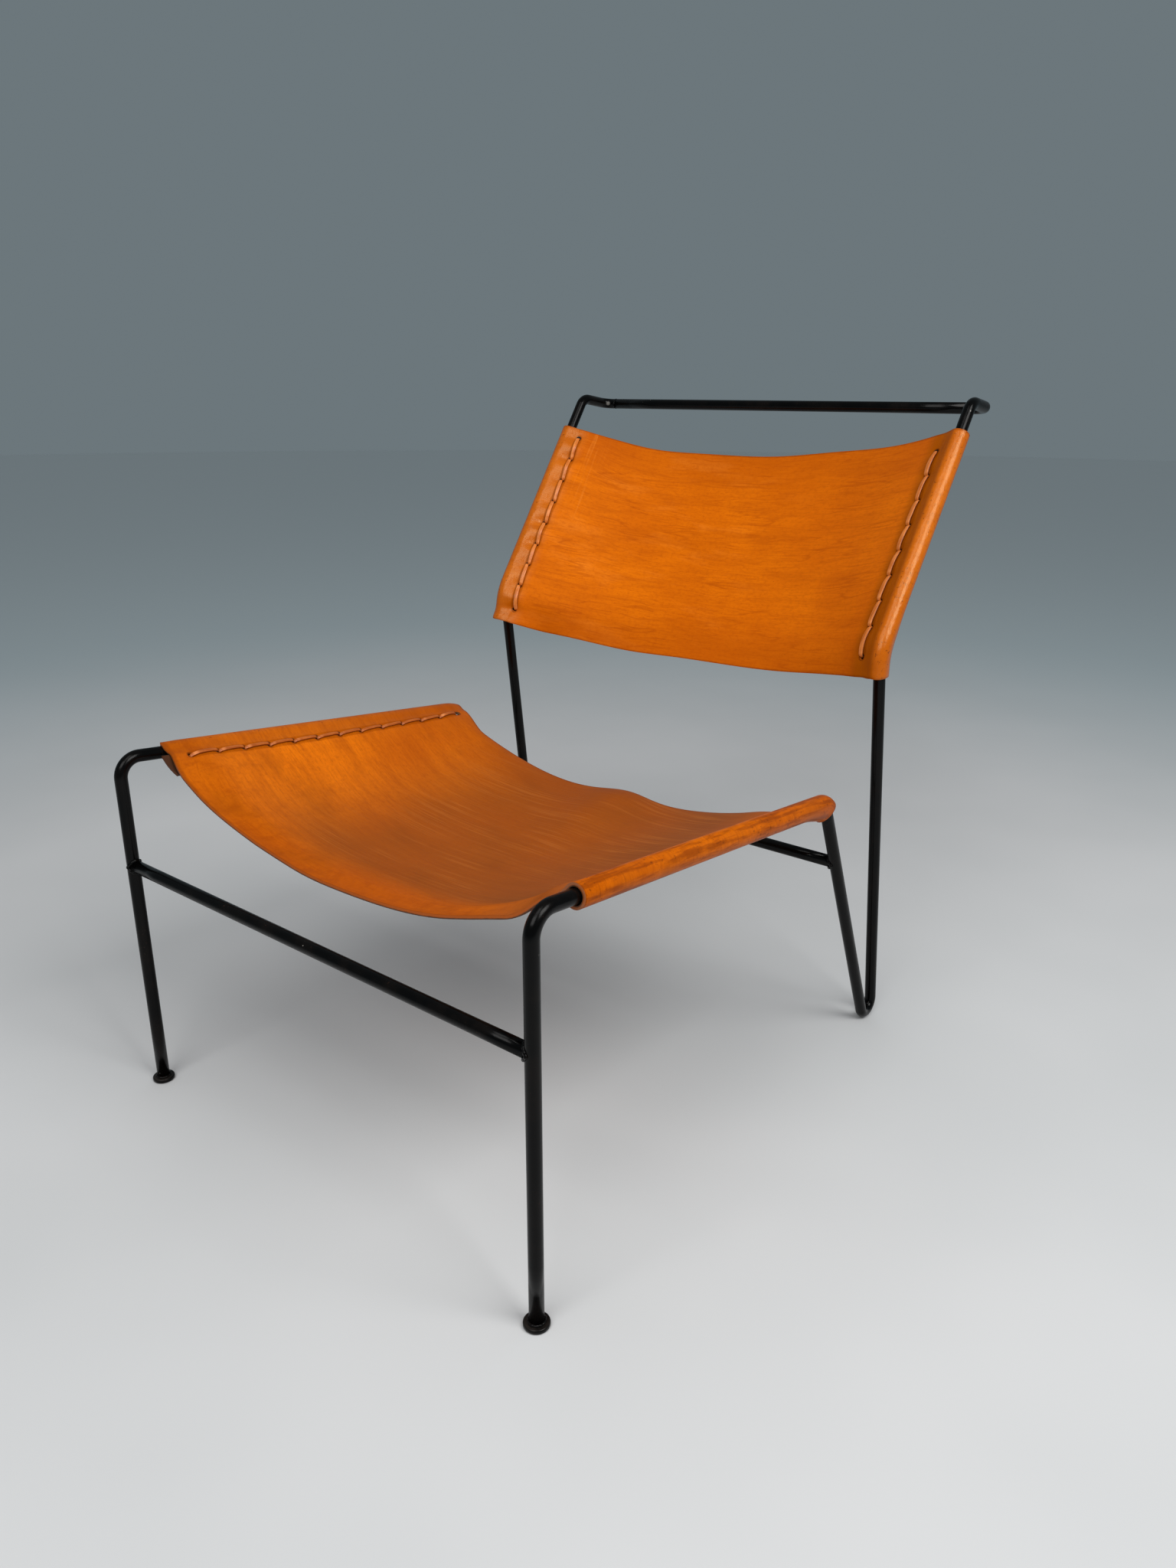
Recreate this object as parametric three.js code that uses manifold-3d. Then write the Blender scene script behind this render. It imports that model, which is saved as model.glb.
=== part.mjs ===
// Leather sling lounge chair on a bent rod frame. Millimetres, +Z up, +Y to the back, +X to the right
// as seen from the front. The floor is z = 0 and the origin is under the middle of the chair.
import * as THREE from "three";
import { mergeVertices } from "three/addons/utils/BufferGeometryUtils.js";
import Module from "manifold-3d";

// Frame rod and its layout. All positions are of the rod's axis.
const ROD_DIAMETER = 13;
const AXIS_WIDTH = 547;
const SEAT_CORNER_HEIGHT = 372.5;
const RAIL_FALL_DEG = 6.3;
const RAIL_LENGTH = 456.5;
const REAR_LEG_LEAN_DEG = 25;
const UPRIGHT_LEAN_DEG = 7.6;
const KNEE_HEIGHT = 464.6;
const BACK_RECLINE_DEG = 35.06;
const BACK_LENGTH = 300.5;
const TOP_RETURN = 52;
const TOP_FALL_DEG = 7.6;
const BAR_STUB = 4;
const KNEE_PINCH = 4.2;

// Bend radii at the rod's axis.
const FRONT_BEND = 20;
const REAR_BEND = 20;
const HAIRPIN_BEND = 14;
const KNEE_BEND = 40;
const TOP_BEND = 17;
const BAR_BEND = 14;

// Stretchers, welds and front glides.
const FRONT_STRETCHER_HEIGHT = 257;
const REAR_STRETCHER_HEIGHT = 244.5;
const WELD_LEG = 2.2;
const BUTT_WELD_WIDTH = 5;
const BUTT_WELD_HEIGHT = 0.9;
const GLIDE_DIAMETER = 23;
const GLIDE_THICKNESS = 4.5;
const GLIDE_RIM = 1.6;

// Leather sheets and how far their sleeves reach along the rods.
const LEATHER = 3.2;
const SEAT_SLEEVE_START = 49;
const SEAT_SLEEVE_TURN_DEG = 43;
const BACK_SLEEVE_ABOVE_KNEE = 255.5;
const BACK_SLEEVE_BELOW_KNEE = 36.4;
const BACK_SKEW = 10;

// Hang of the sheets: depth of their middle line below the rods' axes, and how round the curve is.
const SEAT_DEPTH_FRONT = 74;
const SEAT_DEPTH_MIDDLE = 84;
const SEAT_DEPTH_REAR = 52;
const SEAT_ROUNDNESS_LEFT = 2.35;
const SEAT_ROUNDNESS_RIGHT = 2.7;
const BACK_DEPTH_TOP = 57;
const BACK_DEPTH_BOTTOM = 24;
const BACK_HEM_DROP = 22;
const BACK_HOLLOW = 6;
const BACK_ROUNDNESS = 2.3;

// Ripple in the rear edge of the seat.
const RIPPLE_HEIGHT = 8;
const RIPPLE_AT = 20;
const RIPPLE_SPREAD = 42;
const RIPPLE_REACH = 0.25;

// Lacing: stitch counts, line of the holes from the rod's axis, and the flat thong.
const SEAT_STITCHES = 12;
const BACK_STITCHES = 8;
const SEAT_LACE_SETBACK = 19.5;
const BACK_LACE_SETBACK = 19.5;
const SEAT_LACE_MARGIN = 12;
const BACK_LACE_MARGIN = 22;
const FLAP_LEAD = 6;
const FLAP_TAIL = 10;
const THONG_WIDTH = 6.6;
const THONG_NECK = 3;
const THONG_THICKNESS = 1.8;
const THONG_CORNER = 0.8;
const THONG_TAPER = 3;
const THONG_TAIL = 6;

// Clearances between pieces that touch.
const GAP = 0.3;
const SLEEVE_LOOSE = 1;
const LAYER_GAP = 0.4;
const THONG_GAP = 0.7;

// Fineness of the round pieces.
const ROD_SIDES = 16;
const BEND_STEP_DEG = 10;
const LATHE_SIDES = 24;
const WRAP_STEPS = 7;
const PANEL_STEPS = 5;
const SEAT_STEPS = 3;
const SEAT_BEND_STEPS = 2;
const KNEE_STEPS = 4;
const BACK_STEPS = 2;
const RIM_STEPS = 4;
const BEAD_STEPS = 4;
const SAME_POINT = 1e-4;

// Rounds that settle where a sheet leaves its rod.
const SETTLE_ROUNDS = 12;

// Sizes that follow from the ones above.
const ROD_R = ROD_DIAMETER / 2;
const HALF = AXIS_WIDTH / 2;
const SLEEVE_R = ROD_R + SLEEVE_LOOSE + LEATHER / 2;
const LAYER_PITCH = LEATHER + LAYER_GAP;
const THONG_LIFT = (LAYER_PITCH + LEATHER + THONG_THICKNESS) / 2 + THONG_GAP;
const THONG_SIDE = (THONG_NECK + GAP) / 2;
const X_AXIS = new THREE.Vector3(1, 0, 0);

const rad = THREE.MathUtils.degToRad;
const lerp = THREE.MathUtils.lerp;

const wasm = await Module();
wasm.setup();

// Colours of the finishes.
const PAINT = { color: 0x16130f, roughness: 0.35, metalness: 0.4 };
const HIDE = { color: 0x9a4f1e, roughness: 0.42, metalness: 0 };
const THONG = { color: 0x7d3f1a, roughness: 0.55, metalness: 0 };

const group = new THREE.Group();

// Even steps from one value to another.
function steps(from, to, count) {
  return Array.from({ length: count + 1 }, (_, k) => lerp(from, to, k / count));
}

// A point in the plane of a side frame.
function yz(y, z) {
  return new THREE.Vector3(0, y, z);
}

// A direction in that plane: lean is counted from straight up, towards the back.
function leaning(degrees) {
  return yz(Math.sin(rad(degrees)), Math.cos(rad(degrees)));
}

// Where two lines of the side plane cross.
function crossing(p, d, q, e) {
  const den = d.y * e.z - d.z * e.y;
  const along = ((q.y - p.y) * e.z - (q.z - p.z) * e.y) / den;
  return p.clone().addScaledVector(d, along);
}

// A rod bent at its corners. Distances run along its axis from the first corner.
class BentRod extends THREE.Curve {
  constructor(corners, radii) {
    super();
    this.pieces = [];
    this.bends = [];
    this.length = 0;
    let from = corners[0];
    radii.forEach((radius, i) => {
      const corner = corners[i + 1];
      const into = corner.clone().sub(corners[i]).normalize();
      const out = corners[i + 2].clone().sub(corner).normalize();
      const turn = into.angleTo(out);
      const setback = radius * Math.tan(turn / 2);
      const start = corner.clone().addScaledVector(into, -setback);
      this.addPiece({ from, dir: into, span: from.distanceTo(start), turn: 0 });
      const inward = out.clone().addScaledVector(into, -out.dot(into)).normalize();
      this.bends.push({ start: this.length, setback, radius, span: radius * turn });
      this.addPiece({ from: start, dir: into, inward, radius, turn, span: radius * turn });
      from = corner.clone().addScaledVector(out, setback);
    });
    const last = corners[corners.length - 1];
    const dir = last.clone().sub(from).normalize();
    this.addPiece({ from, dir, span: from.distanceTo(last), turn: 0 });
    this.marks = this.pieces.flatMap((piece) => {
      const steps = Math.max(1, Math.ceil(piece.turn / rad(BEND_STEP_DEG)));
      return Array.from({ length: steps }, (_, k) => piece.start + (piece.span * k) / steps);
    });
    this.marks.push(this.length);
  }

  addPiece(piece) {
    piece.start = this.length;
    this.length += piece.span;
    this.pieces.push(piece);
  }

  // Point and direction at a distance along the rod.
  at(distance) {
    const piece = this.pieces.findLast((p) => p.start <= distance) ?? this.pieces[0];
    const along = distance - piece.start;
    if (!piece.turn) {
      return { point: piece.from.clone().addScaledVector(piece.dir, along), dir: piece.dir.clone() };
    }
    const a = along / piece.radius;
    const point = piece.from.clone().addScaledVector(piece.dir, piece.radius * Math.sin(a));
    point.addScaledVector(piece.inward, piece.radius * (1 - Math.cos(a)));
    const dir = piece.dir.clone().multiplyScalar(Math.cos(a)).addScaledVector(piece.inward, Math.sin(a));
    return { point, dir };
  }

  distanceOf(t) {
    const place = Math.min(Math.max(t, 0), 1) * (this.marks.length - 1);
    const i = Math.min(Math.floor(place), this.marks.length - 2);
    return lerp(this.marks[i], this.marks[i + 1], place - i);
  }

  getPoint(t, target = new THREE.Vector3()) {
    return target.copy(this.at(this.distanceOf(t)).point);
  }

  getTangent(t, target = new THREE.Vector3()) {
    return target.copy(this.at(this.distanceOf(t)).dir);
  }

  // The marks are the stations of the sweep, so no respacing is wanted.
  getUtoTmapping(u) {
    return u;
  }
}

// Corners of the side frame in its own plane, from the front foot to the crossbar.
const frontCorner = yz(0, SEAT_CORNER_HEIGHT);
const railDir = leaning(90 + RAIL_FALL_DEG);
const rearCorner = frontCorner.clone().addScaledVector(railDir, RAIL_LENGTH);
const legDown = leaning(180 - REAR_LEG_LEAN_DEG);
const uprightUp = leaning(-UPRIGHT_LEAN_DEG);
const hairpinHeight = ROD_R + HAIRPIN_BEND;
const legSide = yz(Math.cos(rad(REAR_LEG_LEAN_DEG)), Math.sin(rad(REAR_LEG_LEAN_DEG)));
const legRun = (rearCorner.z + HAIRPIN_BEND * legSide.z - hairpinHeight) / -legDown.z;
const hairpinCentre = rearCorner.clone().addScaledVector(legDown, legRun);
hairpinCentre.addScaledVector(legSide, HAIRPIN_BEND);
const uprightSide = yz(Math.cos(rad(UPRIGHT_LEAN_DEG)), Math.sin(rad(UPRIGHT_LEAN_DEG)));
const uprightFoot = hairpinCentre.clone().addScaledVector(uprightSide, HAIRPIN_BEND);
const hairpinApex = crossing(rearCorner, legDown, uprightFoot, uprightUp);
const kneeRise = (KNEE_HEIGHT - uprightFoot.z) / uprightUp.z;
const knee = uprightFoot.clone().addScaledVector(uprightUp, kneeRise);
const backDir = leaning(BACK_RECLINE_DEG);
const topCorner = knee.clone().addScaledVector(backDir, BACK_LENGTH);
const barCorner = topCorner.clone().addScaledVector(leaning(90 + TOP_FALL_DEG), TOP_RETURN);
const legEnd = yz(0, GLIDE_THICKNESS + GAP);
const stubEnd = HALF - BAR_BEND - BAR_STUB;

// The rod of one side: side is -1 on the left and 1 on the right.
function sideRod(side) {
  const plan = [legEnd, frontCorner, rearCorner, hairpinApex, knee, topCorner, barCorner];
  const corners = plan.map((p) => p.clone().setX(side * HALF));
  corners[plan.indexOf(knee)].setX(side * (HALF - KNEE_PINCH));
  corners.push(barCorner.clone().setX(side * stubEnd));
  return new BentRod(corners, [FRONT_BEND, REAR_BEND, HAIRPIN_BEND, KNEE_BEND, TOP_BEND, BAR_BEND]);
}

// The middle of the chair, front to back, becomes y = 0.
const FRONT_MOST = -GLIDE_DIAMETER / 2;
const REAR_MOST = barCorner.y + ROD_R + GAP + BUTT_WELD_HEIGHT;
const TO_ORIGIN = -(FRONT_MOST + REAR_MOST) / 2;

// Geometry with only positions and shared vertices.
function bare(geometry) {
  geometry.deleteAttribute("normal");
  geometry.deleteAttribute("uv");
  return mergeVertices(geometry, SAME_POINT);
}

function solid(geometry) {
  const g = bare(geometry);
  const vertProperties = new Float32Array(g.attributes.position.array);
  const triVerts = new Uint32Array(g.index.array);
  return new wasm.Manifold(new wasm.Mesh({ numProp: 3, vertProperties, triVerts }));
}

function fromSolid(made) {
  const mesh = made.getMesh();
  const geometry = new THREE.BufferGeometry();
  geometry.setAttribute("position", new THREE.BufferAttribute(mesh.vertProperties, 3));
  geometry.setIndex(new THREE.BufferAttribute(mesh.triVerts, 1));
  return geometry;
}

// Adds one named piece, moved from the drawing's origin to the chair's.
function add(name, geometry, finish) {
  const placed = bare(geometry).translate(0, TO_ORIGIN, 0);
  placed.computeVertexNormals();
  const mesh = new THREE.Mesh(placed, new THREE.MeshStandardMaterial(finish));
  mesh.name = name;
  group.add(mesh);
}

// A straight round bar from one point to another.
function bar(from, to, radius, sides) {
  const along = to.clone().sub(from);
  const geometry = new THREE.CylinderGeometry(radius, radius, along.length(), sides);
  const turn = new THREE.Quaternion().setFromUnitVectors(new THREE.Vector3(0, 1, 0), along.normalize());
  const middle = from.clone().add(to).multiplyScalar(0.5);
  return geometry.applyQuaternion(turn).translate(middle.x, middle.y, middle.z);
}

function ringProfile(points) {
  return points.concat([points[0]]).map(([r, h]) => new THREE.Vector2(r, h));
}

// A lathe solid stood on a point, with its axis along a direction.
function turned(profile, at, axis) {
  const geometry = new THREE.LatheGeometry(profile, LATHE_SIDES);
  const turn = new THREE.Quaternion().setFromUnitVectors(new THREE.Vector3(0, 1, 0), axis);
  return geometry.applyQuaternion(turn).translate(at.x, at.y, at.z);
}

function onSide(point, side) {
  return point.clone().setX(side * HALF);
}

const sideNames = [
  [-1, "left"],
  [1, "right"],
];

// Side frames.
const rodSection = new THREE.Shape().absarc(0, 0, ROD_R, 0, 2 * Math.PI, false);
const rods = new Map();
for (const [side, name] of sideNames) {
  const rod = sideRod(side);
  rods.set(side, rod);
  const sweep = {
    steps: rod.marks.length - 1,
    curveSegments: ROD_SIDES / 2,
    extrudePath: rod,
    bevelEnabled: false,
  };
  add(name + "_side_frame", new THREE.ExtrudeGeometry(rodSection, sweep), PAINT);
}

// Front glides and the beads that hold them to the legs.
const glideR = GLIDE_DIAMETER / 2;
const rimArc = steps(0, Math.PI / 2, RIM_STEPS).map((a) => {
  const r = glideR - GLIDE_RIM * (1 - Math.cos(a));
  return new THREE.Vector2(r, GLIDE_THICKNESS - GLIDE_RIM * (1 - Math.sin(a)));
});
const glideProfile = [
  new THREE.Vector2(0, 0),
  new THREE.Vector2(glideR - GLIDE_RIM / 2, 0),
  new THREE.Vector2(glideR, GLIDE_RIM / 2),
  ...rimArc,
  new THREE.Vector2(0, GLIDE_THICKNESS),
];
const up = new THREE.Vector3(0, 0, 1);
const footBead = ringProfile([
  [ROD_R + GAP, 0],
  [ROD_R + GAP + WELD_LEG, 0],
  [ROD_R + GAP, WELD_LEG],
]);
for (const [side, name] of sideNames) {
  add(name + "_front_glide", turned(glideProfile, yz(0, 0).setX(side * HALF), up), PAINT);
  add(name + "_glide_weld", turned(footBead, onSide(legEnd, side), up), PAINT);
}

// Crossbar, butted to the ends of the two rods with a ring of weld over each joint.
const barStart = barCorner.clone().setX(-stubEnd + GAP);
const barEnd = barCorner.clone().setX(stubEnd - GAP);
add("top_crossbar", bar(barStart, barEnd, ROD_R, ROD_SIDES), PAINT);
const buttBead = ringProfile(
  steps(0, Math.PI, BEAD_STEPS).map((a) => [
    ROD_R + GAP + BUTT_WELD_HEIGHT * Math.sin(a),
    (-BUTT_WELD_WIDTH / 2) * Math.cos(a),
  ]),
);
for (const [side, name] of sideNames) {
  add(name + "_crossbar_weld", turned(buttBead, barCorner.clone().setX(side * stubEnd), X_AXIS), PAINT);
}

// Stretchers, hollowed at their ends to the legs they meet, with a bead in the corner of each joint.
function stretcher(name, at, legFrom, legTo) {
  const left = onSide(at, -1);
  const right = onSide(at, 1);
  let rod = solid(bar(left, right, ROD_R, ROD_SIDES));
  const cleared = solid(bar(left, right, ROD_R + GAP, LATHE_SIDES));
  const swollen = solid(bar(left, right, ROD_R + WELD_LEG, LATHE_SIDES));
  for (const [side, sideName] of sideNames) {
    const from = onSide(legFrom, side);
    const to = onSide(legTo, side);
    const leg = solid(bar(from, to, ROD_R + GAP, LATHE_SIDES));
    const around = solid(bar(from, to, ROD_R + WELD_LEG, LATHE_SIDES));
    rod = rod.subtract(leg);
    const bead = swollen.intersect(around).subtract(leg).subtract(cleared);
    add(sideName + "_" + name + "_weld", fromSolid(bead), PAINT);
  }
  add(name, fromSolid(rod), PAINT);
}

const rearReach = (rearCorner.z - REAR_STRETCHER_HEIGHT) / -legDown.z;
const rearStretcherAt = rearCorner.clone().addScaledVector(legDown, rearReach);
stretcher("front_stretcher", yz(0, FRONT_STRETCHER_HEIGHT), legEnd, frontCorner);
stretcher("rear_stretcher", rearStretcherAt, rearCorner, hairpinApex);

// One leather sheet. It leaves each rod at a tangent and hangs to a middle line between them. Its sides
// go over the rods and back under the sheet as flaps.
class Sling {
  constructor({ rod, stations, middle, roundness, setback, ripple, skew }) {
    Object.assign(this, { rod, stations, middle, roundness, setback, ripple, skew });
    this.start = stations[0];
    this.end = stations[stations.length - 1];
    this.cuts = new Map();
    for (const [side] of sideNames) {
      this.cuts.set(side, stations.map((distance) => this.section(distance, side)));
    }
  }

  // The cross-section at a distance along the rod: its frame, its hang and where it leaves the rod.
  section(distance, side) {
    const { point, dir } = this.rod.at(distance + (side * this.skew) / 2);
    const half = point.x;
    const power = this.roundness(side);
    const out = new THREE.Vector3().crossVectors(X_AXIS, dir).normalize();
    const along = new THREE.Vector3().crossVectors(out, X_AXIS);
    const part = (distance - this.start) / (this.end - this.start);
    const reach = this.middle(part).sub(point.clone().setX(0));
    const drop = -reach.dot(out);
    let angle = 0;
    for (let k = 0; k < SETTLE_ROUNDS; k++) {
      const sag = drop + SLEEVE_R * Math.cos(angle);
      angle = Math.atan((sag * power) / (half - SLEEVE_R * Math.sin(angle)));
    }
    const leave = SLEEVE_R * Math.sin(angle);
    const top = SLEEVE_R * Math.cos(angle);
    const shift = reach.dot(along);
    const sag = drop + top;
    return { side, half, origin: point.setX(0), out, along, part, power, angle, leave, top, sag, shift };
  }

  // A point of the hanging part, u inwards from the rod's axis and v out of the sheet's upper side.
  hang(cut, u) {
    const span = cut.half - cut.leave;
    const ratio = Math.max(0, (cut.half - u) / span);
    const fall = 1 - ratio ** cut.power;
    const slope = ((cut.sag * cut.power) / span) * ratio ** (cut.power - 1);
    const size = Math.hypot(slope, 1);
    const v = cut.top - cut.sag * fall + this.ripple(cut.side * (cut.half - u), cut.part);
    return { u, v, nu: slope / size, nv: 1 / size, fall };
  }

  // Half of the cross-section's middle line, from the chair's middle out to the end of the flap.
  halfLine(cut) {
    const lead = this.setback - FLAP_LEAD;
    const tail = this.setback + FLAP_TAIL;
    const line = [];
    for (let k = 0; k < PANEL_STEPS; k++) {
      line.push(this.hang(cut, lerp(cut.half, tail, k / PANEL_STEPS)));
    }
    const doubled = [tail, lead];
    doubled.forEach((u) => line.push(this.hang(cut, u)));
    const under = doubled.map((u) => {
      const m = this.hang(cut, u);
      return {
        u: m.u - m.nu * LAYER_PITCH,
        v: m.v - m.nv * LAYER_PITCH,
        nu: -m.nu,
        nv: -m.nv,
        fall: m.fall,
      };
    });
    const fold = under[1];
    const away = Math.hypot(fold.u, fold.v);
    const last = Math.atan2(fold.v, fold.u) - Math.acos(SLEEVE_R / away) + 2 * Math.PI;
    const first = Math.PI / 2 - cut.angle;
    for (let k = 0; k <= WRAP_STEPS; k++) {
      const a = lerp(first, last, k / WRAP_STEPS);
      const nu = Math.cos(a);
      const nv = Math.sin(a);
      line.push({ u: SLEEVE_R * nu, v: SLEEVE_R * nv, nu, nv, fall: 0 });
    }
    // At the fold the two straight runs meet, so its thickness is measured along the bisector.
    const mu = fold.nu + Math.cos(last);
    const mv = fold.nv + Math.sin(last);
    const stretch = 2 / (mu * mu + mv * mv);
    line.push({ ...fold, nu: mu * stretch, nv: mv * stretch });
    line.push(under[0]);
    return line;
  }

  // From the cross-section's own measures to a point of the chair.
  place(cut, p, lift) {
    const u = p.u + p.nu * lift;
    const v = p.v + p.nv * lift;
    const at = cut.origin.clone().addScaledVector(cut.out, v).addScaledVector(cut.along, cut.shift * p.fall);
    return at.setX(cut.side * (cut.half - u));
  }

  geometry() {
    const rings = this.stations.map((_, k) => {
      const face = (lift) => {
        const [left, right] = sideNames.map(([side]) => {
          const cut = this.cuts.get(side)[k];
          return this.halfLine(cut).map((p) => this.place(cut, p, lift));
        });
        return [...left.reverse(), ...right.slice(1)];
      };
      return [...face(LEATHER / 2), ...face(-LEATHER / 2).reverse()];
    });
    return loft(rings, (n) => stripCap(n));
  }

  // Where the thong crosses at one cross-section: a point and the directions out of and across the sheet.
  laceAt(cut, lift, across) {
    const m = this.hang(cut, this.setback);
    const u = m.u - (m.nu * LAYER_PITCH) / 2 + m.nv * across;
    const v = m.v - (m.nv * LAYER_PITCH) / 2 - m.nu * across;
    const out = cut.out.clone().multiplyScalar(m.nv).setX(-cut.side * m.nu);
    const sideways = cut.out.clone().multiplyScalar(-m.nu).setX(-cut.side * m.nv);
    return { point: this.place(cut, { ...m, u, v }, lift), out, sideways };
  }

  // The same between two cross-sections, where the sheet's surface is straight.
  lacePoint(distance, side, lift, across) {
    const next = Math.max(1, this.stations.findIndex((d) => d >= distance));
    const span = this.stations[next] - this.stations[next - 1];
    const part = (distance - this.stations[next - 1]) / span;
    const cuts = this.cuts.get(side);
    const from = this.laceAt(cuts[next - 1], lift, across);
    const to = this.laceAt(cuts[next], lift, across);
    return {
      point: from.point.lerp(to.point, part),
      out: from.out.lerp(to.out, part).normalize(),
      sideways: from.sideways.lerp(to.sideways, part).normalize(),
    };
  }
}

// Closed surface through a row of rings of equal count. The cap function lists a ring's triangles. The
// quarters of a ring take turns in the diagonal, so that a sheet is the same on its left and right.
function loft(rings, cap) {
  const count = rings[0].length;
  const index = [];
  for (let r = 0; r < rings.length - 1; r++) {
    for (let k = 0; k < count; k++) {
      const next = (k + 1) % count;
      const a = r * count + k;
      const b = r * count + next;
      const quarter = Math.floor((4 * k + 2) / count);
      if (quarter % 2 === 0) {
        index.push(a, b, a + count, b, b + count, a + count);
      } else {
        index.push(a, b, b + count, a, b + count, a + count);
      }
    }
  }
  const ends = cap(count);
  const last = (rings.length - 1) * count;
  for (let k = 0; k < ends.length; k += 3) {
    index.push(ends[k + 2], ends[k + 1], ends[k]);
    index.push(last + ends[k], last + ends[k + 1], last + ends[k + 2]);
  }
  const geometry = new THREE.BufferGeometry().setFromPoints(rings.flat());
  geometry.setIndex(facingOut(geometry, index));
  return geometry;
}

// Turns the triangles round when they enclose a negative volume.
function facingOut(geometry, index) {
  const corner = index.map((i) => new THREE.Vector3().fromBufferAttribute(geometry.attributes.position, i));
  let volume = 0;
  for (let k = 0; k < corner.length; k += 3) {
    volume += corner[k].dot(new THREE.Vector3().crossVectors(corner[k + 1], corner[k + 2]));
  }
  return volume < 0 ? index.reverse() : index;
}

// Cap of a ring that runs out along one side of a strip and back along the other.
function stripCap(count) {
  const triangles = [];
  for (let k = 0; k < count / 2 - 1; k++) {
    const far = count - 1 - k;
    triangles.push(k, k + 1, far, k + 1, far - 1, far);
  }
  return triangles;
}

// Positions of the lace holes along a sling's sleeve.
function holeLine(sling, margin, stitches) {
  return steps(sling.start + margin, sling.end - margin, stitches);
}

// A sling with its lace holes cut through the sheet and the flap.
function punched(sling, holes) {
  const long = THONG_THICKNESS + 2 * GAP;
  const wide = 2 * (THONG_SIDE + THONG_NECK / 2 + GAP);
  const cutters = sideNames.flatMap(([side]) =>
    holes.map((distance) => {
      const { point, out, sideways } = sling.lacePoint(distance, side, 0, 0);
      const along = new THREE.Vector3().crossVectors(out, sideways);
      const frame = new THREE.Matrix4().makeBasis(sideways, along, out).setPosition(point);
      return solid(new THREE.BoxGeometry(wide, long, 2 * THONG_LIFT).applyMatrix4(frame));
    }),
  );
  const all = cutters.reduce((joined, cutter) => joined.add(cutter));
  return fromSolid(solid(sling.geometry()).subtract(all));
}

// The thong goes there and back along the holes, so that stitches show on both faces of every gap.
function thong(sling, holes, side) {
  const path = [];
  const put = (distance, lift, across, width) => {
    path.push({ ...sling.lacePoint(distance, side, lift, across), width });
  };
  const run = (from, to, face, across) => {
    const way = Math.sign(to - from);
    const wide = [from + way * (THONG_CORNER + THONG_TAPER), to - way * (THONG_CORNER + THONG_TAPER)];
    const low = Math.min(...wide) + THONG_CORNER;
    const high = Math.max(...wide) - THONG_CORNER;
    const folds = sling.stations.filter((d) => d > low && d < high);
    if (way < 0) folds.reverse();
    put(from + way * THONG_CORNER, face * THONG_LIFT, across, THONG_NECK);
    [wide[0], ...folds, wide[1]].forEach((d) => put(d, face * THONG_LIFT, across, THONG_WIDTH));
    put(to - way * THONG_CORNER, face * THONG_LIFT, across, THONG_NECK);
  };
  const through = (distance, face, before, after) => {
    put(distance, face * (THONG_LIFT - THONG_CORNER), before, THONG_NECK);
    put(distance, -face * (THONG_LIFT - THONG_CORNER), after, THONG_NECK);
  };
  const last = holes.length - 1;
  put(holes[0] - THONG_TAIL, -THONG_LIFT, THONG_SIDE, THONG_NECK);
  put(holes[0] - THONG_CORNER, -THONG_LIFT, THONG_SIDE, THONG_NECK);
  through(holes[0], -1, THONG_SIDE, THONG_SIDE);
  for (let k = 0; k < last; k++) {
    const face = k % 2 ? -1 : 1;
    run(holes[k], holes[k + 1], face, THONG_SIDE);
    through(holes[k + 1], face, THONG_SIDE, k + 1 < last ? THONG_SIDE : -THONG_SIDE);
  }
  const turn = last % 2 ? -1 : 1;
  for (let k = last; k > 1; k--) {
    const face = (last - k) % 2 ? -turn : turn;
    run(holes[k], holes[k - 1], face, -THONG_SIDE);
    through(holes[k - 1], face, -THONG_SIDE, -THONG_SIDE);
  }
  const face = (last - 1) % 2 ? -turn : turn;
  put(holes[1] - THONG_CORNER, face * THONG_LIFT, -THONG_SIDE, THONG_NECK);
  put(holes[0] + THONG_TAIL, face * THONG_LIFT, -THONG_SIDE, THONG_NECK);
  return sweptStrip(path);
}

// A flat strip along a path, its section set square to the bisector of each corner.
function sweptStrip(path) {
  const rings = path.map((stop, i) => {
    const before = stop.point.clone().sub(path[Math.max(i - 1, 0)].point).normalize();
    const after = path[Math.min(i + 1, path.length - 1)].point.clone().sub(stop.point).normalize();
    const along = before.clone().add(after).normalize();
    const bend = before.lengthSq() && after.lengthSq() ? before.dot(along) : 1;
    const thick = new THREE.Vector3().crossVectors(stop.sideways, along).normalize();
    thick.multiplyScalar(THONG_THICKNESS / 2 / bend);
    const wide = stop.sideways.clone().multiplyScalar(stop.width / 2);
    return [
      [1, 1],
      [-1, 1],
      [-1, -1],
      [1, -1],
    ].map(([a, b]) => stop.point.clone().addScaledVector(wide, a).addScaledVector(thick, b));
  });
  return loft(rings, () => [0, 1, 2, 0, 2, 3]);
}

// Value of the curve through three heights at the start, the middle and the end.
function through3(part, first, mid, last) {
  return first * (1 - part) * (1 - 2 * part) + 4 * mid * part * (1 - part) + last * part * (2 * part - 1);
}

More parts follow.
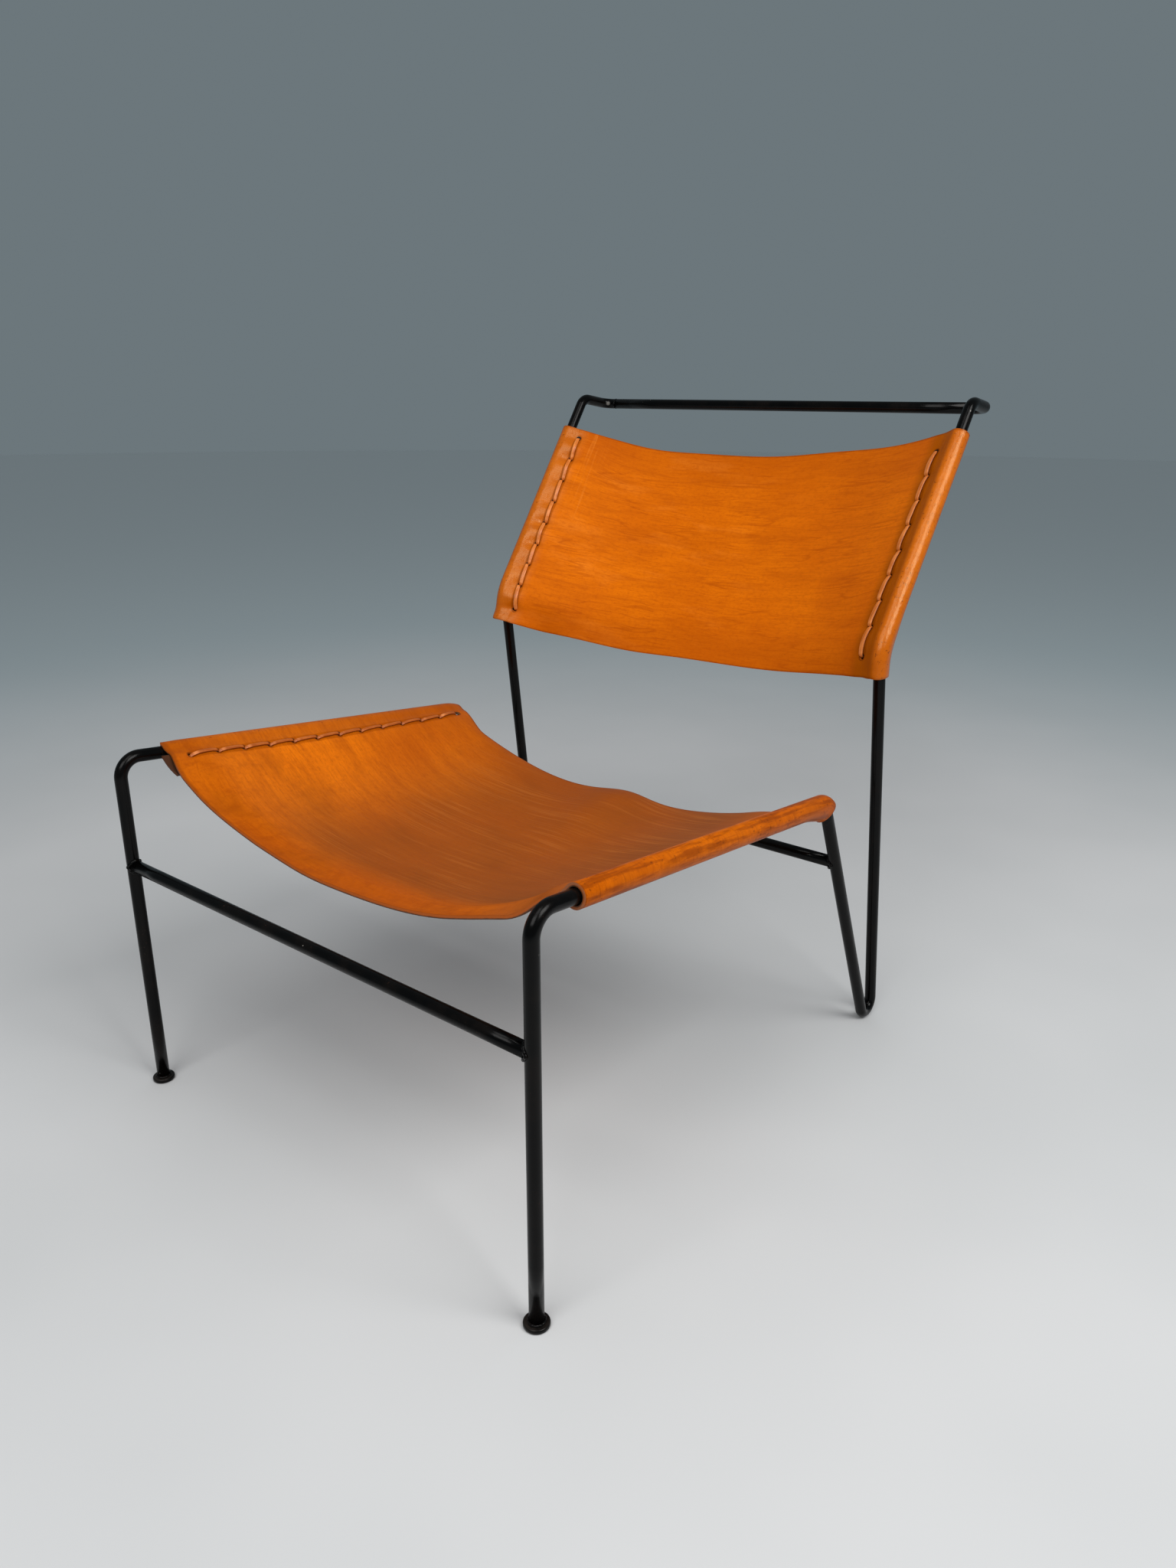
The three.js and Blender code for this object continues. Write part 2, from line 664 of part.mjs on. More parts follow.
// Seat sling. Distances on the rail are counted from the frame's front corner.
const rightRod = rods.get(1);
const [frontBend, rearBend, , kneeBend] = rightRod.bends;
const railStart = frontBend.start + frontBend.span - frontBend.setback;
const seatStart = railStart + SEAT_SLEEVE_START;
const seatEnd = rearBend.start + rearBend.radius * rad(SEAT_SLEEVE_TURN_DEG);
const railUp = new THREE.Vector3().crossVectors(X_AXIS, railDir);
const seat = new Sling({
  rod: rightRod,
  stations: [
    ...steps(seatStart, rearBend.start, SEAT_STEPS),
    ...steps(rearBend.start, seatEnd, SEAT_BEND_STEPS).slice(1),
  ],
  roundness: (side) => (side < 0 ? SEAT_ROUNDNESS_LEFT : SEAT_ROUNDNESS_RIGHT),
  setback: SEAT_LACE_SETBACK,
  skew: 0,
  middle: (part) => {
    const along = lerp(seatStart, seatEnd, part) - railStart;
    const depth = through3(part, SEAT_DEPTH_FRONT, SEAT_DEPTH_MIDDLE, SEAT_DEPTH_REAR);
    return frontCorner.clone().addScaledVector(railDir, along).addScaledVector(railUp, -depth);
  },
  ripple: (x, part) => {
    const near = Math.exp(-(((1 - part) / RIPPLE_REACH) ** 2));
    return RIPPLE_HEIGHT * near * Math.exp(-(((x - RIPPLE_AT) / RIPPLE_SPREAD) ** 2));
  },
});
const seatHoles = holeLine(seat, SEAT_LACE_MARGIN, SEAT_STITCHES);
add("seat_sling", punched(seat, seatHoles), HIDE);

// Back sling.
const backStart = kneeBend.start + kneeBend.setback - BACK_SLEEVE_BELOW_KNEE;
const kneeEnd = kneeBend.start + kneeBend.span;
const backEnd = kneeEnd - kneeBend.setback + BACK_SLEEVE_ABOVE_KNEE;
const backFoot = middleOf(backStart, BACK_DEPTH_BOTTOM).addScaledVector(uprightUp, -BACK_HEM_DROP);
const backHead = middleOf(backEnd, BACK_DEPTH_TOP);
const backOut = new THREE.Vector3().crossVectors(X_AXIS, backHead.clone().sub(backFoot).normalize());

// The point of the chair's middle plane at a depth behind the rods.
function middleOf(distance, depth) {
  const { point, dir } = rightRod.at(distance);
  const out = new THREE.Vector3().crossVectors(X_AXIS, dir).normalize();
  return point.setX(0).addScaledVector(out, -depth);
}

const back = new Sling({
  rod: rightRod,
  stations: [
    ...steps(backStart, kneeBend.start, BACK_STEPS),
    ...steps(kneeBend.start, kneeEnd, KNEE_STEPS).slice(1),
    ...steps(kneeEnd, backEnd, BACK_STEPS).slice(1),
  ],
  roundness: () => BACK_ROUNDNESS,
  setback: BACK_LACE_SETBACK,
  skew: BACK_SKEW,
  middle: (part) => {
    const hollow = 4 * part * (1 - part) * BACK_HOLLOW;
    return backFoot.clone().lerp(backHead, part).addScaledVector(backOut, -hollow);
  },
  ripple: () => 0,
});
const backHoles = holeLine(back, BACK_LACE_MARGIN, BACK_STITCHES);
add("back_sling", punched(back, backHoles), HIDE);

// Lacings.
for (const [side, name] of sideNames) {
  add(name + "_seat_lacing", thong(seat, seatHoles, side), THONG);
  add(name + "_back_lacing", thong(back, backHoles, side), THONG);
}

export default group;
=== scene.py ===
"""Looks of a leather sling lounge chair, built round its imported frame.

Shapes are worked out in millimetres with y = 0 at the front legs, as in the part's source.
Meshes are in metres in the shared frame.
"""

import math

import bpy
import numpy as np
from mathutils import Matrix, Vector


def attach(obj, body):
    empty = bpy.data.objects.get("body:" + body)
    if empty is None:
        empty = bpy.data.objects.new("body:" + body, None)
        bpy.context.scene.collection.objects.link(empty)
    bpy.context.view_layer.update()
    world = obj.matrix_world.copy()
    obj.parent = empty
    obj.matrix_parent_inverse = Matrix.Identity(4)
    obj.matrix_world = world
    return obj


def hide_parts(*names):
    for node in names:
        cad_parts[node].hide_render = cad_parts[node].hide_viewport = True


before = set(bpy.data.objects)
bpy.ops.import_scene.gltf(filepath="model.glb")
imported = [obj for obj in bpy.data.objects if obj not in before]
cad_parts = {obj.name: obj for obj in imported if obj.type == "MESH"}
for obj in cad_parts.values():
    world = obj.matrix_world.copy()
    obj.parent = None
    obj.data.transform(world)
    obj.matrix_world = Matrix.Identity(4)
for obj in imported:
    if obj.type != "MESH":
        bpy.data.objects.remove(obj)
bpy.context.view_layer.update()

# Sizes of the frame and the sheets, as in the part's source.
MM = 0.001
ROD_R = 6.5
HALF = 273.5
SEAT_CORNER_HEIGHT = 372.5
RAIL_FALL = 6.3
RAIL_LENGTH = 456.5
REAR_LEG_LEAN = 25
UPRIGHT_LEAN = 7.6
KNEE_HEIGHT = 464.6
BACK_RECLINE = 35.06
BACK_LENGTH = 300.5
TOP_RETURN = 52
TOP_FALL = 7.6
BAR_STUB = 4
KNEE_PINCH = 4.2
FRONT_BEND, REAR_BEND, HAIRPIN_BEND, KNEE_BEND, TOP_BEND, BAR_BEND = 20, 20, 14, 40, 17, 14
FRONT_STRETCHER_HEIGHT = 257
REAR_STRETCHER_HEIGHT = 244.5
GLIDE_R = 11.5
GLIDE_THICKNESS = 4.5
GLIDE_RIM = 1.6
GAP = 0.3
BUTT_WELD_HEIGHT = 0.9
LEATHER = 3.2
SLEEVE_PLAY = 1
LAYER_PLAY = 0.4
SLEEVE_R = ROD_R + SLEEVE_PLAY + LEATHER / 2
LAYER_PITCH = LEATHER + LAYER_PLAY
SETBACK = 19.5
TAIL_U = SETBACK + 10
LEAD_U = SETBACK - 6.7
SEAT_SETBACK = 49
SEAT_REAR_TURN = 43
SEAT_HANG = (74, 84, 52)
SEAT_MARGIN = 12
BACK_BELOW_KNEE = 36.4
BACK_ABOVE_KNEE = 255.5
BACK_FOOT_HANG, BACK_FOOT_DROP, BACK_HEAD_HANG, BACK_BOW = 24, 22, 57, 24
BACK_MARGIN = 22

# Fineness of the meshes.
ROD_SIDES = 32
BEND_STEP = 4
STRAIGHT_STEPS = 6
CROSSBAR_RINGS = 9
STRETCHER_RINGS = 13
BEAD_STEPS, BEAD_SIDES = 96, 12
GLIDE_SIDES, RIM_STEPS = 48, 7
PANEL_COLUMNS, RUN_COLUMNS, WRAP_COLUMNS, RETURN_COLUMNS = 53, 5, 29, 7
ROW_STEP = 4.5
THONG_SIDES, THONG_ROUNDS = 14, 3

# Details that only the looks have.
HOLE_R = 2.7
HOLE_BLOCK = 4.0
HOLE_CELLS = 2
FLAP_LINE = 26.5
SOFT_EDGE, SOFT_ANGLE, SOFT_STEPS = 1.1, 55, 3
THONG_WIDTH = {"left_seat": 4.0, "right_seat": 4.0, "left_back": 5.4, "right_back": 6.6}
THONG_SEED = {"left_seat": 43, "right_seat": 45, "left_back": 50, "right_back": 52}
THONG_NECK = 3.8
THONG_THICK = 2.0
THONG_SIDE = 0.9
THONG_PLAY = 0.2
THONG_LIFT = (LAYER_PITCH + LEATHER + THONG_THICK) / 2 + THONG_PLAY
THONG_SQUARE = 0.75
# How far before the first hole the thong's tucked end starts and stops.
THONG_TUCK = (7, 2)
STITCH_STOPS = (0.055, 0.14, 0.3, 0.5, 0.7, 0.86, 0.945)
# A weld bead's radius, and how far outside the rod's surface its middle line runs.
STRETCHER_BEAD_R, STRETCHER_BEAD_OUT = 1.75, 0.2
BUTT_BEAD_R, BUTT_BEAD_OUT = 1.5, -1.1
FOOT_BEAD_R, FOOT_BEAD_OUT = 1.5, 0.3
BEAD_SEED = {
    "left_front_stretcher": 12, "right_front_stretcher": 18,
    "left_rear_stretcher": 11, "right_rear_stretcher": 17,
    "left_crossbar": 19, "right_crossbar": 21, "left_foot": 29, "right_foot": 31,
}
# Inset and height of points on the worn lower edge of a glide.
GLIDE_EDGE = ((1.2, 0.0), (0.5, 0.25), (0.0, 0.9))

SIDES = ((-1, "left"), (1, "right"))
X = np.array([1.0, 0.0, 0.0])
# Stretches of a sheet's cross-section, from the chair's middle out, round the rod and back under the sheet.
PANEL, SHEET, RUN, WRAP, RETURN, FLAP = range(6)


def unit(v):
    return v / np.linalg.norm(v, axis=-1, keepdims=True)


def yz(y, z):
    return np.array([0.0, y, z])


def leaning(degrees):
    a = math.radians(degrees)
    return yz(math.sin(a), math.cos(a))


def lerp(a, b, t):
    return a + (b - a) * t


def smooth(t):
    t = np.clip(t, 0, 1)
    return t * t * (3 - 2 * t)


def past(value, start, run):
    """Nought up to a start, then rising to one over a run."""
    return smooth((value - start) / run)


def until(value, start, run):
    """One up to a start, then falling to nought over a run."""
    return 1 - past(value, start, run)


def hump(value, centre, width):
    """One at a centre, fading away on both sides."""
    return np.exp(-(((value - centre) / width) ** 2))


def full_turn(count):
    return np.linspace(0, 2 * math.pi, count, endpoint=False)


def running_length(points):
    return np.concatenate([[0], np.cumsum(np.linalg.norm(np.diff(points, axis=0), axis=1))])


def with_x(p, x):
    return np.array([x, p[1], p[2]])


class Record:
    """Named values that belong together."""

    def __init__(self, **values):
        for name, value in values.items():
            setattr(self, name, value)


class BentRod:
    """A rod bent at its corners. Distances run along its axis from the first corner."""

    def __init__(self, corners, radii):
        self.pieces = []
        self.bends = []
        self.length = 0.0
        start = corners[0]
        for i, radius in enumerate(radii):
            into = unit(corners[i + 1] - corners[i])
            out = unit(corners[i + 2] - corners[i + 1])
            turn = math.acos(into @ out)
            setback = radius * math.tan(turn / 2)
            first = corners[i + 1] - into * setback
            self.add(start, into, np.linalg.norm(first - start))
            self.bends.append(Record(begin=self.length, setback=setback, span=radius * turn))
            self.add(first, into, radius * turn, unit(out - into * (out @ into)), radius)
            start = corners[i + 1] + out * setback
        self.add(start, unit(corners[-1] - start), np.linalg.norm(corners[-1] - start))

    def add(self, start, way, span, inward=None, radius=0):
        self.pieces.append((self.length, start, way, span, inward, radius))
        self.length += span

    def at(self, distance):
        """Point and direction at a distance along the rod."""
        begin, start, way, _, inward, radius = [p for p in self.pieces if p[0] <= distance][-1]
        along = distance - begin
        if inward is None:
            return start + way * along, way
        a = along / radius
        point = start + way * radius * math.sin(a) + inward * radius * (1 - math.cos(a))
        return point, way * math.cos(a) + inward * math.sin(a)

    def marks(self):
        """Distances of the rings that draw the rod."""
        found = []
        for begin, _, _, span, inward, radius in self.pieces:
            count = STRAIGHT_STEPS
            if inward is not None:
                count = max(1, math.ceil(span / radius / math.radians(BEND_STEP)))
            found += [begin + span * k / count for k in range(count)]
        return found + [self.length]


def crossing(p, d, q, e):
    """Where two lines in the side view meet, each given by a point and a direction."""
    den = d[1] * e[2] - d[2] * e[1]
    return p + d * (((q[1] - p[1]) * e[2] - (q[2] - p[2]) * e[1]) / den)


# Corners of the side frame.
leg_end = yz(0, GLIDE_THICKNESS + GAP)
front_corner = yz(0, SEAT_CORNER_HEIGHT)
rail_dir = leaning(90 + RAIL_FALL)
rear_corner = front_corner + rail_dir * RAIL_LENGTH
leg_down = leaning(180 - REAR_LEG_LEAN)
upright_up = leaning(-UPRIGHT_LEAN)
leg_side = leaning(90 - REAR_LEG_LEAN)
upright_side = leaning(90 - UPRIGHT_LEAN)
leg_run = (rear_corner[2] + HAIRPIN_BEND * leg_side[2] - ROD_R - HAIRPIN_BEND) / -leg_down[2]
hairpin_centre = rear_corner + leg_down * leg_run + leg_side * HAIRPIN_BEND
upright_foot = hairpin_centre + upright_side * HAIRPIN_BEND
hairpin_apex = crossing(rear_corner, leg_down, upright_foot, upright_up)
knee = upright_foot + upright_up * ((KNEE_HEIGHT - upright_foot[2]) / upright_up[2])
top_corner = knee + leaning(BACK_RECLINE) * BACK_LENGTH
bar_corner = top_corner + leaning(90 + TOP_FALL) * TOP_RETURN
stub_end = HALF - BAR_BEND - BAR_STUB
TO_ORIGIN = (GLIDE_R - bar_corner[1] - ROD_R - GAP - BUTT_WELD_HEIGHT) / 2


def side_rod(side):
    plan = [leg_end, front_corner, rear_corner, hairpin_apex, knee, top_corner, bar_corner]
    corners = [with_x(p, side * HALF) for p in plan]
    corners[4] = with_x(knee, side * (HALF - KNEE_PINCH))
    corners.append(with_x(bar_corner, side * stub_end))
    return BentRod(corners, [FRONT_BEND, REAR_BEND, HAIRPIN_BEND, KNEE_BEND, TOP_BEND, BAR_BEND])


rods = {side: side_rod(side) for side, _ in SIDES}


def mesh_object(name, points, faces, materials, face_slots=None, attributes=None):
    """A smooth mesh piece in the shared frame from points in millimetres of the drawing."""
    placed = (np.asarray(points, float) + [0, TO_ORIGIN, 0]) * MM
    mesh = bpy.data.meshes.new(name)
    mesh.from_pydata(placed.tolist(), [], [[int(i) for i in f] for f in faces])
    for material in materials:
        mesh.materials.append(material)
    if face_slots is not None:
        mesh.polygons.foreach_set("material_index", np.asarray(face_slots, np.int32))
    mesh.polygons.foreach_set("use_smooth", np.ones(len(mesh.polygons), bool))
    for key, values in (attributes or {}).items():
        layer = mesh.attributes.new(key, "FLOAT_VECTOR", "POINT")
        layer.data.foreach_set("vector", np.asarray(values, np.float32).ravel())
    mesh.update()
    piece = bpy.data.objects.new(name, mesh)
    bpy.context.scene.collection.objects.link(piece)
    return piece


def settle(piece, slot, *nodes):
    """Sets a piece on the chair's one body in place of its plain solids."""
    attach(piece, "root")
    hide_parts(*nodes)
    return piece


def skin(rings, closed=False):
    """Points and faces of a surface through rings of equal count."""
    rings = np.asarray(rings)
    count, sides = rings.shape[:2]
    faces = []
    for r in range(count if closed else count - 1):
        a, b = r * sides, ((r + 1) % count) * sides
        faces += [(a + k, a + (k + 1) % sides, b + (k + 1) % sides, b + k) for k in range(sides)]
    if not closed:
        faces.append(tuple(range(sides))[::-1])
        faces.append(tuple((count - 1) * sides + k for k in range(sides)))
    return rings.reshape(-1, 3), faces


def round_rings(points, ways, radii, first, sides=ROD_SIDES):
    """Round rings square to a path, turned as little as possible from one to the next."""
    turn = full_turn(sides)
    across = first
    rings = []
    for p, way, radius in zip(points, ways, radii):
        across = unit(across - way * (across @ way))
        other = np.cross(way, across)
        rings.append(p + np.outer(radius * np.cos(turn), across) + np.outer(radius * np.sin(turn), other))
    return rings


class Sling:
    """A leather sheet held by sleeves on the two side rods, with lace holes along its sleeves.

    A place on it is given by s along the rod, its side, the kind of stretch and q within that stretch.
    """

    WAVE_TAIL, WAVE_FADE = 11.2, 8
    LEAVE_ROUNDS = 12
    JUST_OVER = 1.0001

    def __init__(self, name, start, end, middle, ripple, shape, roundness, skew, margin, stitches):
        self.name, self.start, self.end = name, start, end
        self.middle, self.ripple, self.shape = middle, ripple, shape
        self.roundness, self.skew = roundness, skew
        self.holes = np.linspace(start + margin, end - margin, stitches + 1)
        self.pitch = self.holes[1] - self.holes[0]

    def cut(self, s, side):
        """The cross-section at a distance along the rod: its frame, its hang and where it leaves the rod."""
        point, way = rods[1].at(s + side * self.skew / 2)
        half, power = point[0], self.roundness[side]
        out = unit(np.cross(X, way))
        along = np.cross(out, X)
        part = (s - self.start) / (self.end - self.start)
        reach = self.middle(part) - with_x(point, 0)
        drop = -(reach @ out)
        angle = 0.0
        for _ in range(self.LEAVE_ROUNDS):
            sag = drop + SLEEVE_R * math.cos(angle)
            angle = math.atan(sag * power / (half - SLEEVE_R * math.sin(angle)))
        c = Record(side=side, half=half, power=power, part=part)
        c.origin, c.out, c.along = with_x(point, 0), out, along
        c.leave, c.top = SLEEVE_R * math.sin(angle), SLEEVE_R * math.cos(angle)
        c.sag, c.shift = drop + c.top, reach @ along
        c.fold, _ = self.below(c, LEAD_U)
        away = max(math.hypot(*c.fold), SLEEVE_R * self.JUST_OVER)
        c.first = math.pi / 2 - angle
        c.last = math.atan2(c.fold[1], c.fold[0]) - math.acos(SLEEVE_R / away) + 2 * math.pi
        return c

    def below(self, c, u):
        """A point of the flap under the sheet, and the sheet's normal there."""
        m = self.hang(c, np.array([u]))
        normal = np.array([m.nu[0], m.nv[0]])
        return np.array([m.u[0], m.v[0]]) - normal * LAYER_PITCH, normal

    def hang(self, c, u):
        """The hanging part, u inwards from the rod's axis and v out of the sheet's upper side."""
        span = c.half - c.leave
        ratio = np.maximum(0, (c.half - u) / span)
        slope = c.sag * c.power / span * ratio ** (c.power - 1)
        size = np.hypot(slope, 1)
        fall = 1 - ratio ** c.power
        v = c.top - c.sag * fall + self.ripple(c.side * (c.half - u), c.part)
        return Record(u=u, v=v, nu=slope / size, nv=1 / size, fall=fall)

    def section(self, c, kind, q):
        """The sheet's middle line at places of one cross-section."""
        inner, lead = lerp(c.half, TAIL_U, q), lerp(LEAD_U, c.leave, q)
        u = np.select([kind == PANEL, kind == RUN], [inner, lead], q)
        m = self.hang(c, u)
        flap = kind == FLAP
        m.u = u - flap * m.nu * LAYER_PITCH
        m.v = m.v - flap * m.nv * LAYER_PITCH
        flip = np.where(flap, -1.0, 1.0)
        m.nu, m.nv = m.nu * flip, m.nv * flip
        wrap = kind == WRAP
        a = lerp(c.first, c.last, q[wrap])
        m.nu[wrap], m.nv[wrap] = np.cos(a), np.sin(a)
        m.u[wrap], m.v[wrap] = SLEEVE_R * np.cos(a), SLEEVE_R * np.sin(a)
        back = kind == RETURN
        t = q[back][:, None]
        end = np.array([math.cos(c.last), math.sin(c.last)])
        goal, goal_normal = self.below(c, SETBACK - HOLE_BLOCK)
        line = (1 - t) ** 2 * SLEEVE_R * end + 2 * t * (1 - t) * c.fold + t**2 * goal
        m.u[back], m.v[back] = line.T
        m.nu[back], m.nv[back] = unit((1 - t) * end - t * goal_normal).T
        m.fall[wrap | back] = 0
        return m

    def surface(self, s, side, kind, q):
        """Points of the shaped sheet, with their normals, for arrays of places."""
        n = len(s)
        f = Record(s=s, side=side, kind=kind, q=q, u=np.zeros(n), fall=np.zeros(n))
        f.point, f.normal, f.out, f.along = (np.zeros((n, 3)) for _ in range(4))
        keys = np.stack([np.round(s, 6), side], axis=1)
        _, group = np.unique(keys, axis=0, return_inverse=True)
        order = np.argsort(group.ravel(), kind="stable")
        for rows in np.split(order, np.flatnonzero(np.diff(group.ravel()[order])) + 1):
            c = self.cut(s[rows[0]], int(side[rows[0]]))
            m = self.section(c, kind[rows], q[rows])
            at = c.origin + np.outer(m.v, c.out) + np.outer(c.shift * m.fall, c.along)
            at[:, 0] = c.side * (c.half - m.u)
            f.point[rows] = at
            f.normal[rows] = np.outer(m.nv, c.out) - np.outer(m.nu * c.side, X)
            f.out[rows], f.along[rows] = c.out, c.along
            f.u[rows], f.fall[rows] = m.u, m.fall
        f.x = f.point[:, 0]
        f.up = f.normal * np.where((kind == FLAP) | (kind == RETURN), -1.0, 1.0)[:, None]
        f.point = f.point + self.shape(self, f)
        return f

    def stitch_wave(self, s):
        """Minus one at each hole and one midway between two, fading past the last holes."""
        first, last = self.holes[0] - self.WAVE_TAIL, self.holes[-1] + self.WAVE_TAIL
        inside = past(s, first, self.WAVE_FADE) * past(-s, -last, self.WAVE_FADE)
        return -np.cos(2 * math.pi * (s - self.holes[0]) / self.pitch) * inside

    def rows(self, fine):
        """Distances of the mesh rows: lines through the holes, and even steps between them."""
        fixed = {self.start, self.end}
        for h in self.holes:
            fixed |= {h + HOLE_BLOCK * k / HOLE_CELLS for k in range(-HOLE_CELLS, HOLE_CELLS + 1)}
        fixed = sorted(fixed)
        found = [fixed[0]]
        for a, b in zip(fixed, fixed[1:]):
            step = ROW_STEP / 2 if fine[0] < (a + b) / 2 < fine[1] else ROW_STEP
            count = max(1, math.ceil((b - a) / step - 1e-6))
            found += [lerp(a, b, k / count) for k in range(1, count + 1)]
        return np.array(found)


# Columns of a half sheet, from the chair's middle out round the rod to the end of the flap.
hole_us = [SETBACK + HOLE_BLOCK * k / HOLE_CELLS for k in range(HOLE_CELLS, -HOLE_CELLS - 1, -1)]
half_columns = [(PANEL, t) for t in np.linspace(0, 1, PANEL_COLUMNS)]
half_columns += [(SHEET, u) for u in (FLAP_LINE, *hole_us, LEAD_U + 1)]
half_columns += [(RUN, t) for t in np.linspace(0, 1, RUN_COLUMNS)]
half_columns += [(WRAP, t) for t in np.linspace(0, 1, WRAP_COLUMNS)[1:]]
half_columns += [(RETURN, t) for t in np.linspace(0, 1, RETURN_COLUMNS)[1:-1]]
half_columns += [(FLAP, u) for u in (*hole_us[::-1], FLAP_LINE, TAIL_U)]
HALF_KIND = np.array([k for k, _ in half_columns])
HALF_Q = np.array([q for _, q in half_columns])
N_HALF = len(half_columns)
FULL_KIND = np.concatenate([HALF_KIND[::-1], HALF_KIND[1:]])
FULL_Q = np.concatenate([HALF_Q[::-1], HALF_Q[1:]])
FULL_SIDE = np.concatenate([np.full(N_HALF, -1), np.full(N_HALF - 1, 1)])
FULL_WAY = np.where(np.roll(FULL_Q, -1) > FULL_Q, 1, -1)
N_COLS = len(FULL_KIND)
HOLE_COLUMNS = np.flatnonzero(np.isin(FULL_KIND, (SHEET, FLAP)) & (abs(FULL_Q - SETBACK) < 1e-6))


def punched(rows, holes):
    """The grid's cells that stay, and the places and faces of two rings round each lace hole."""
    cell = np.ones((len(rows) - 1, N_COLS - 1), bool)
    places, faces = [], []
    total = len(rows) * N_COLS
    m = HOLE_CELLS
    steps = range(-m, m)
    for hole in holes:
        r = int(np.argmin(abs(rows - hole)))
        for c in HOLE_COLUMNS:
            cell[r - m : r + m, c - m : c + m] = False
            loop = [(r - m, c + k) for k in steps] + [(r + k, c + m) for k in steps]
            loop += [(r + m, c - k) for k in steps] + [(r - k, c - m) for k in steps]
            outer = [i * N_COLS + j for i, j in loop]
            for ease in (0.5, 1.0):
                for i, j in loop:
                    ds, du = rows[i] - hole, FULL_Q[j] - SETBACK
                    a = math.atan2(ds, du)
                    ds, du = lerp(ds, HOLE_R * math.sin(a), ease), lerp(du, HOLE_R * math.cos(a), ease)
                    places.append((hole + ds, c, du))
                inner = list(range(total, total + len(loop)))
                total += len(loop)
                faces += [(outer[k - 1], outer[k], inner[k], inner[k - 1]) for k in range(len(loop))]
                outer = inner
    return cell, np.array(places), np.array(faces)


def thickened(p, normal, faces):
    """Points, faces and material slots of the leather round its middle surface, with closed rims."""
    first, second = p[faces[:, 1]] - p[faces[:, 0]], p[faces[:, 3]] - p[faces[:, 0]]
    if (np.cross(first, second) * normal[faces[:, 0]]).sum() < 0:
        faces = faces[:, ::-1]
    count = len(p)
    edges = np.concatenate([faces[:, [k, (k + 1) % 4]] for k in range(4)])
    _, index, uses = np.unique(np.sort(edges, axis=1), axis=0, return_index=True, return_counts=True)
    rim = edges[index[uses == 1]]
    walls = np.stack([rim[:, 1], rim[:, 0], rim[:, 0] + count, rim[:, 1] + count], axis=1)
    points = np.concatenate([p + normal * LEATHER / 2, p - normal * LEATHER / 2])
    slots = np.repeat([0, 1, 2], [len(faces), len(faces), len(walls)])
    return points, np.concatenate([faces, faces[:, ::-1] + count, walls]), slots


def sheet_mesh(sling, fine, materials):
    """The sheet as a thick closed mesh with round holes. Returns the piece and its flat size."""
    rows = sling.rows(fine)
    n_grid = len(rows) * N_COLS
    cell, ring_places, ring_faces = punched(rows, sling.holes)
    column = np.concatenate([np.tile(np.arange(N_COLS), len(rows)), ring_places[:, 1].astype(int)])
    s = np.concatenate([np.repeat(rows, N_COLS), ring_places[:, 0]])
    beside = np.concatenate([np.zeros(n_grid), ring_places[:, 2]])
    kind, q = FULL_KIND[column], FULL_Q[column] + beside
    f = sling.surface(s, FULL_SIDE[column], kind, q)
    i, j = np.nonzero(cell)
    a = i * N_COLS + j
    faces = np.concatenate([np.stack([a, a + 1, a + 1 + N_COLS, a + N_COLS], axis=1), ring_faces])
    used, faces = np.unique(faces, return_inverse=True)
    points, faces, slots = thickened(f.point[used], f.normal[used], faces.reshape(-1, 4))
    # Where each point lies on the flat hide: across from the middle, and along from the first edge.
    across = running_length(f.point[:n_grid].reshape(-1, N_COLS, 3)[len(rows) // 2])
    across -= across[N_HALF - 1]
    width, length = across[-1] - across[0], sling.end - sling.start
    flat_a = (across[column] + FULL_WAY[column] * beside)[used]
    flat_b = (s - sling.start)[used]
    edge = np.minimum.reduce([flat_b, length - flat_b, flat_a - across[0], across[-1] - flat_a])
    flat = np.stack([flat_a, flat_b, edge], axis=1) * MM
    # How far each point is from a hole and from the rod, and how far round the rod it lies.
    far = 99
    lace = np.abs(s[:, None] - sling.holes).min(axis=1)
    near = np.where(np.isin(kind, (SHEET, FLAP)), np.hypot(lace, q - SETBACK), far)
    wrapped = np.select([kind == WRAP, np.isin(kind, (RETURN, FLAP))], [q, 2.0], -1.0)
    mark = np.stack([near * MM, f.u * MM, wrapped], axis=1)[used]
    depth = np.zeros((len(points), 3))
    depth[len(used) :, 0] = 1
    both = {"flat": np.tile(flat, (2, 1)), "mark": np.tile(mark, (2, 1)), "depth": depth}
    piece = mesh_object(sling.name, points, faces, materials, slots, both)
    soften = piece.modifiers.new("soft_edges", "BEVEL")
    soften.width = SOFT_EDGE * MM
    soften.segments = SOFT_STEPS
    soften.limit_method = "ANGLE"
    soften.angle_limit = math.radians(SOFT_ANGLE)
    return piece, (width * MM, length * MM)


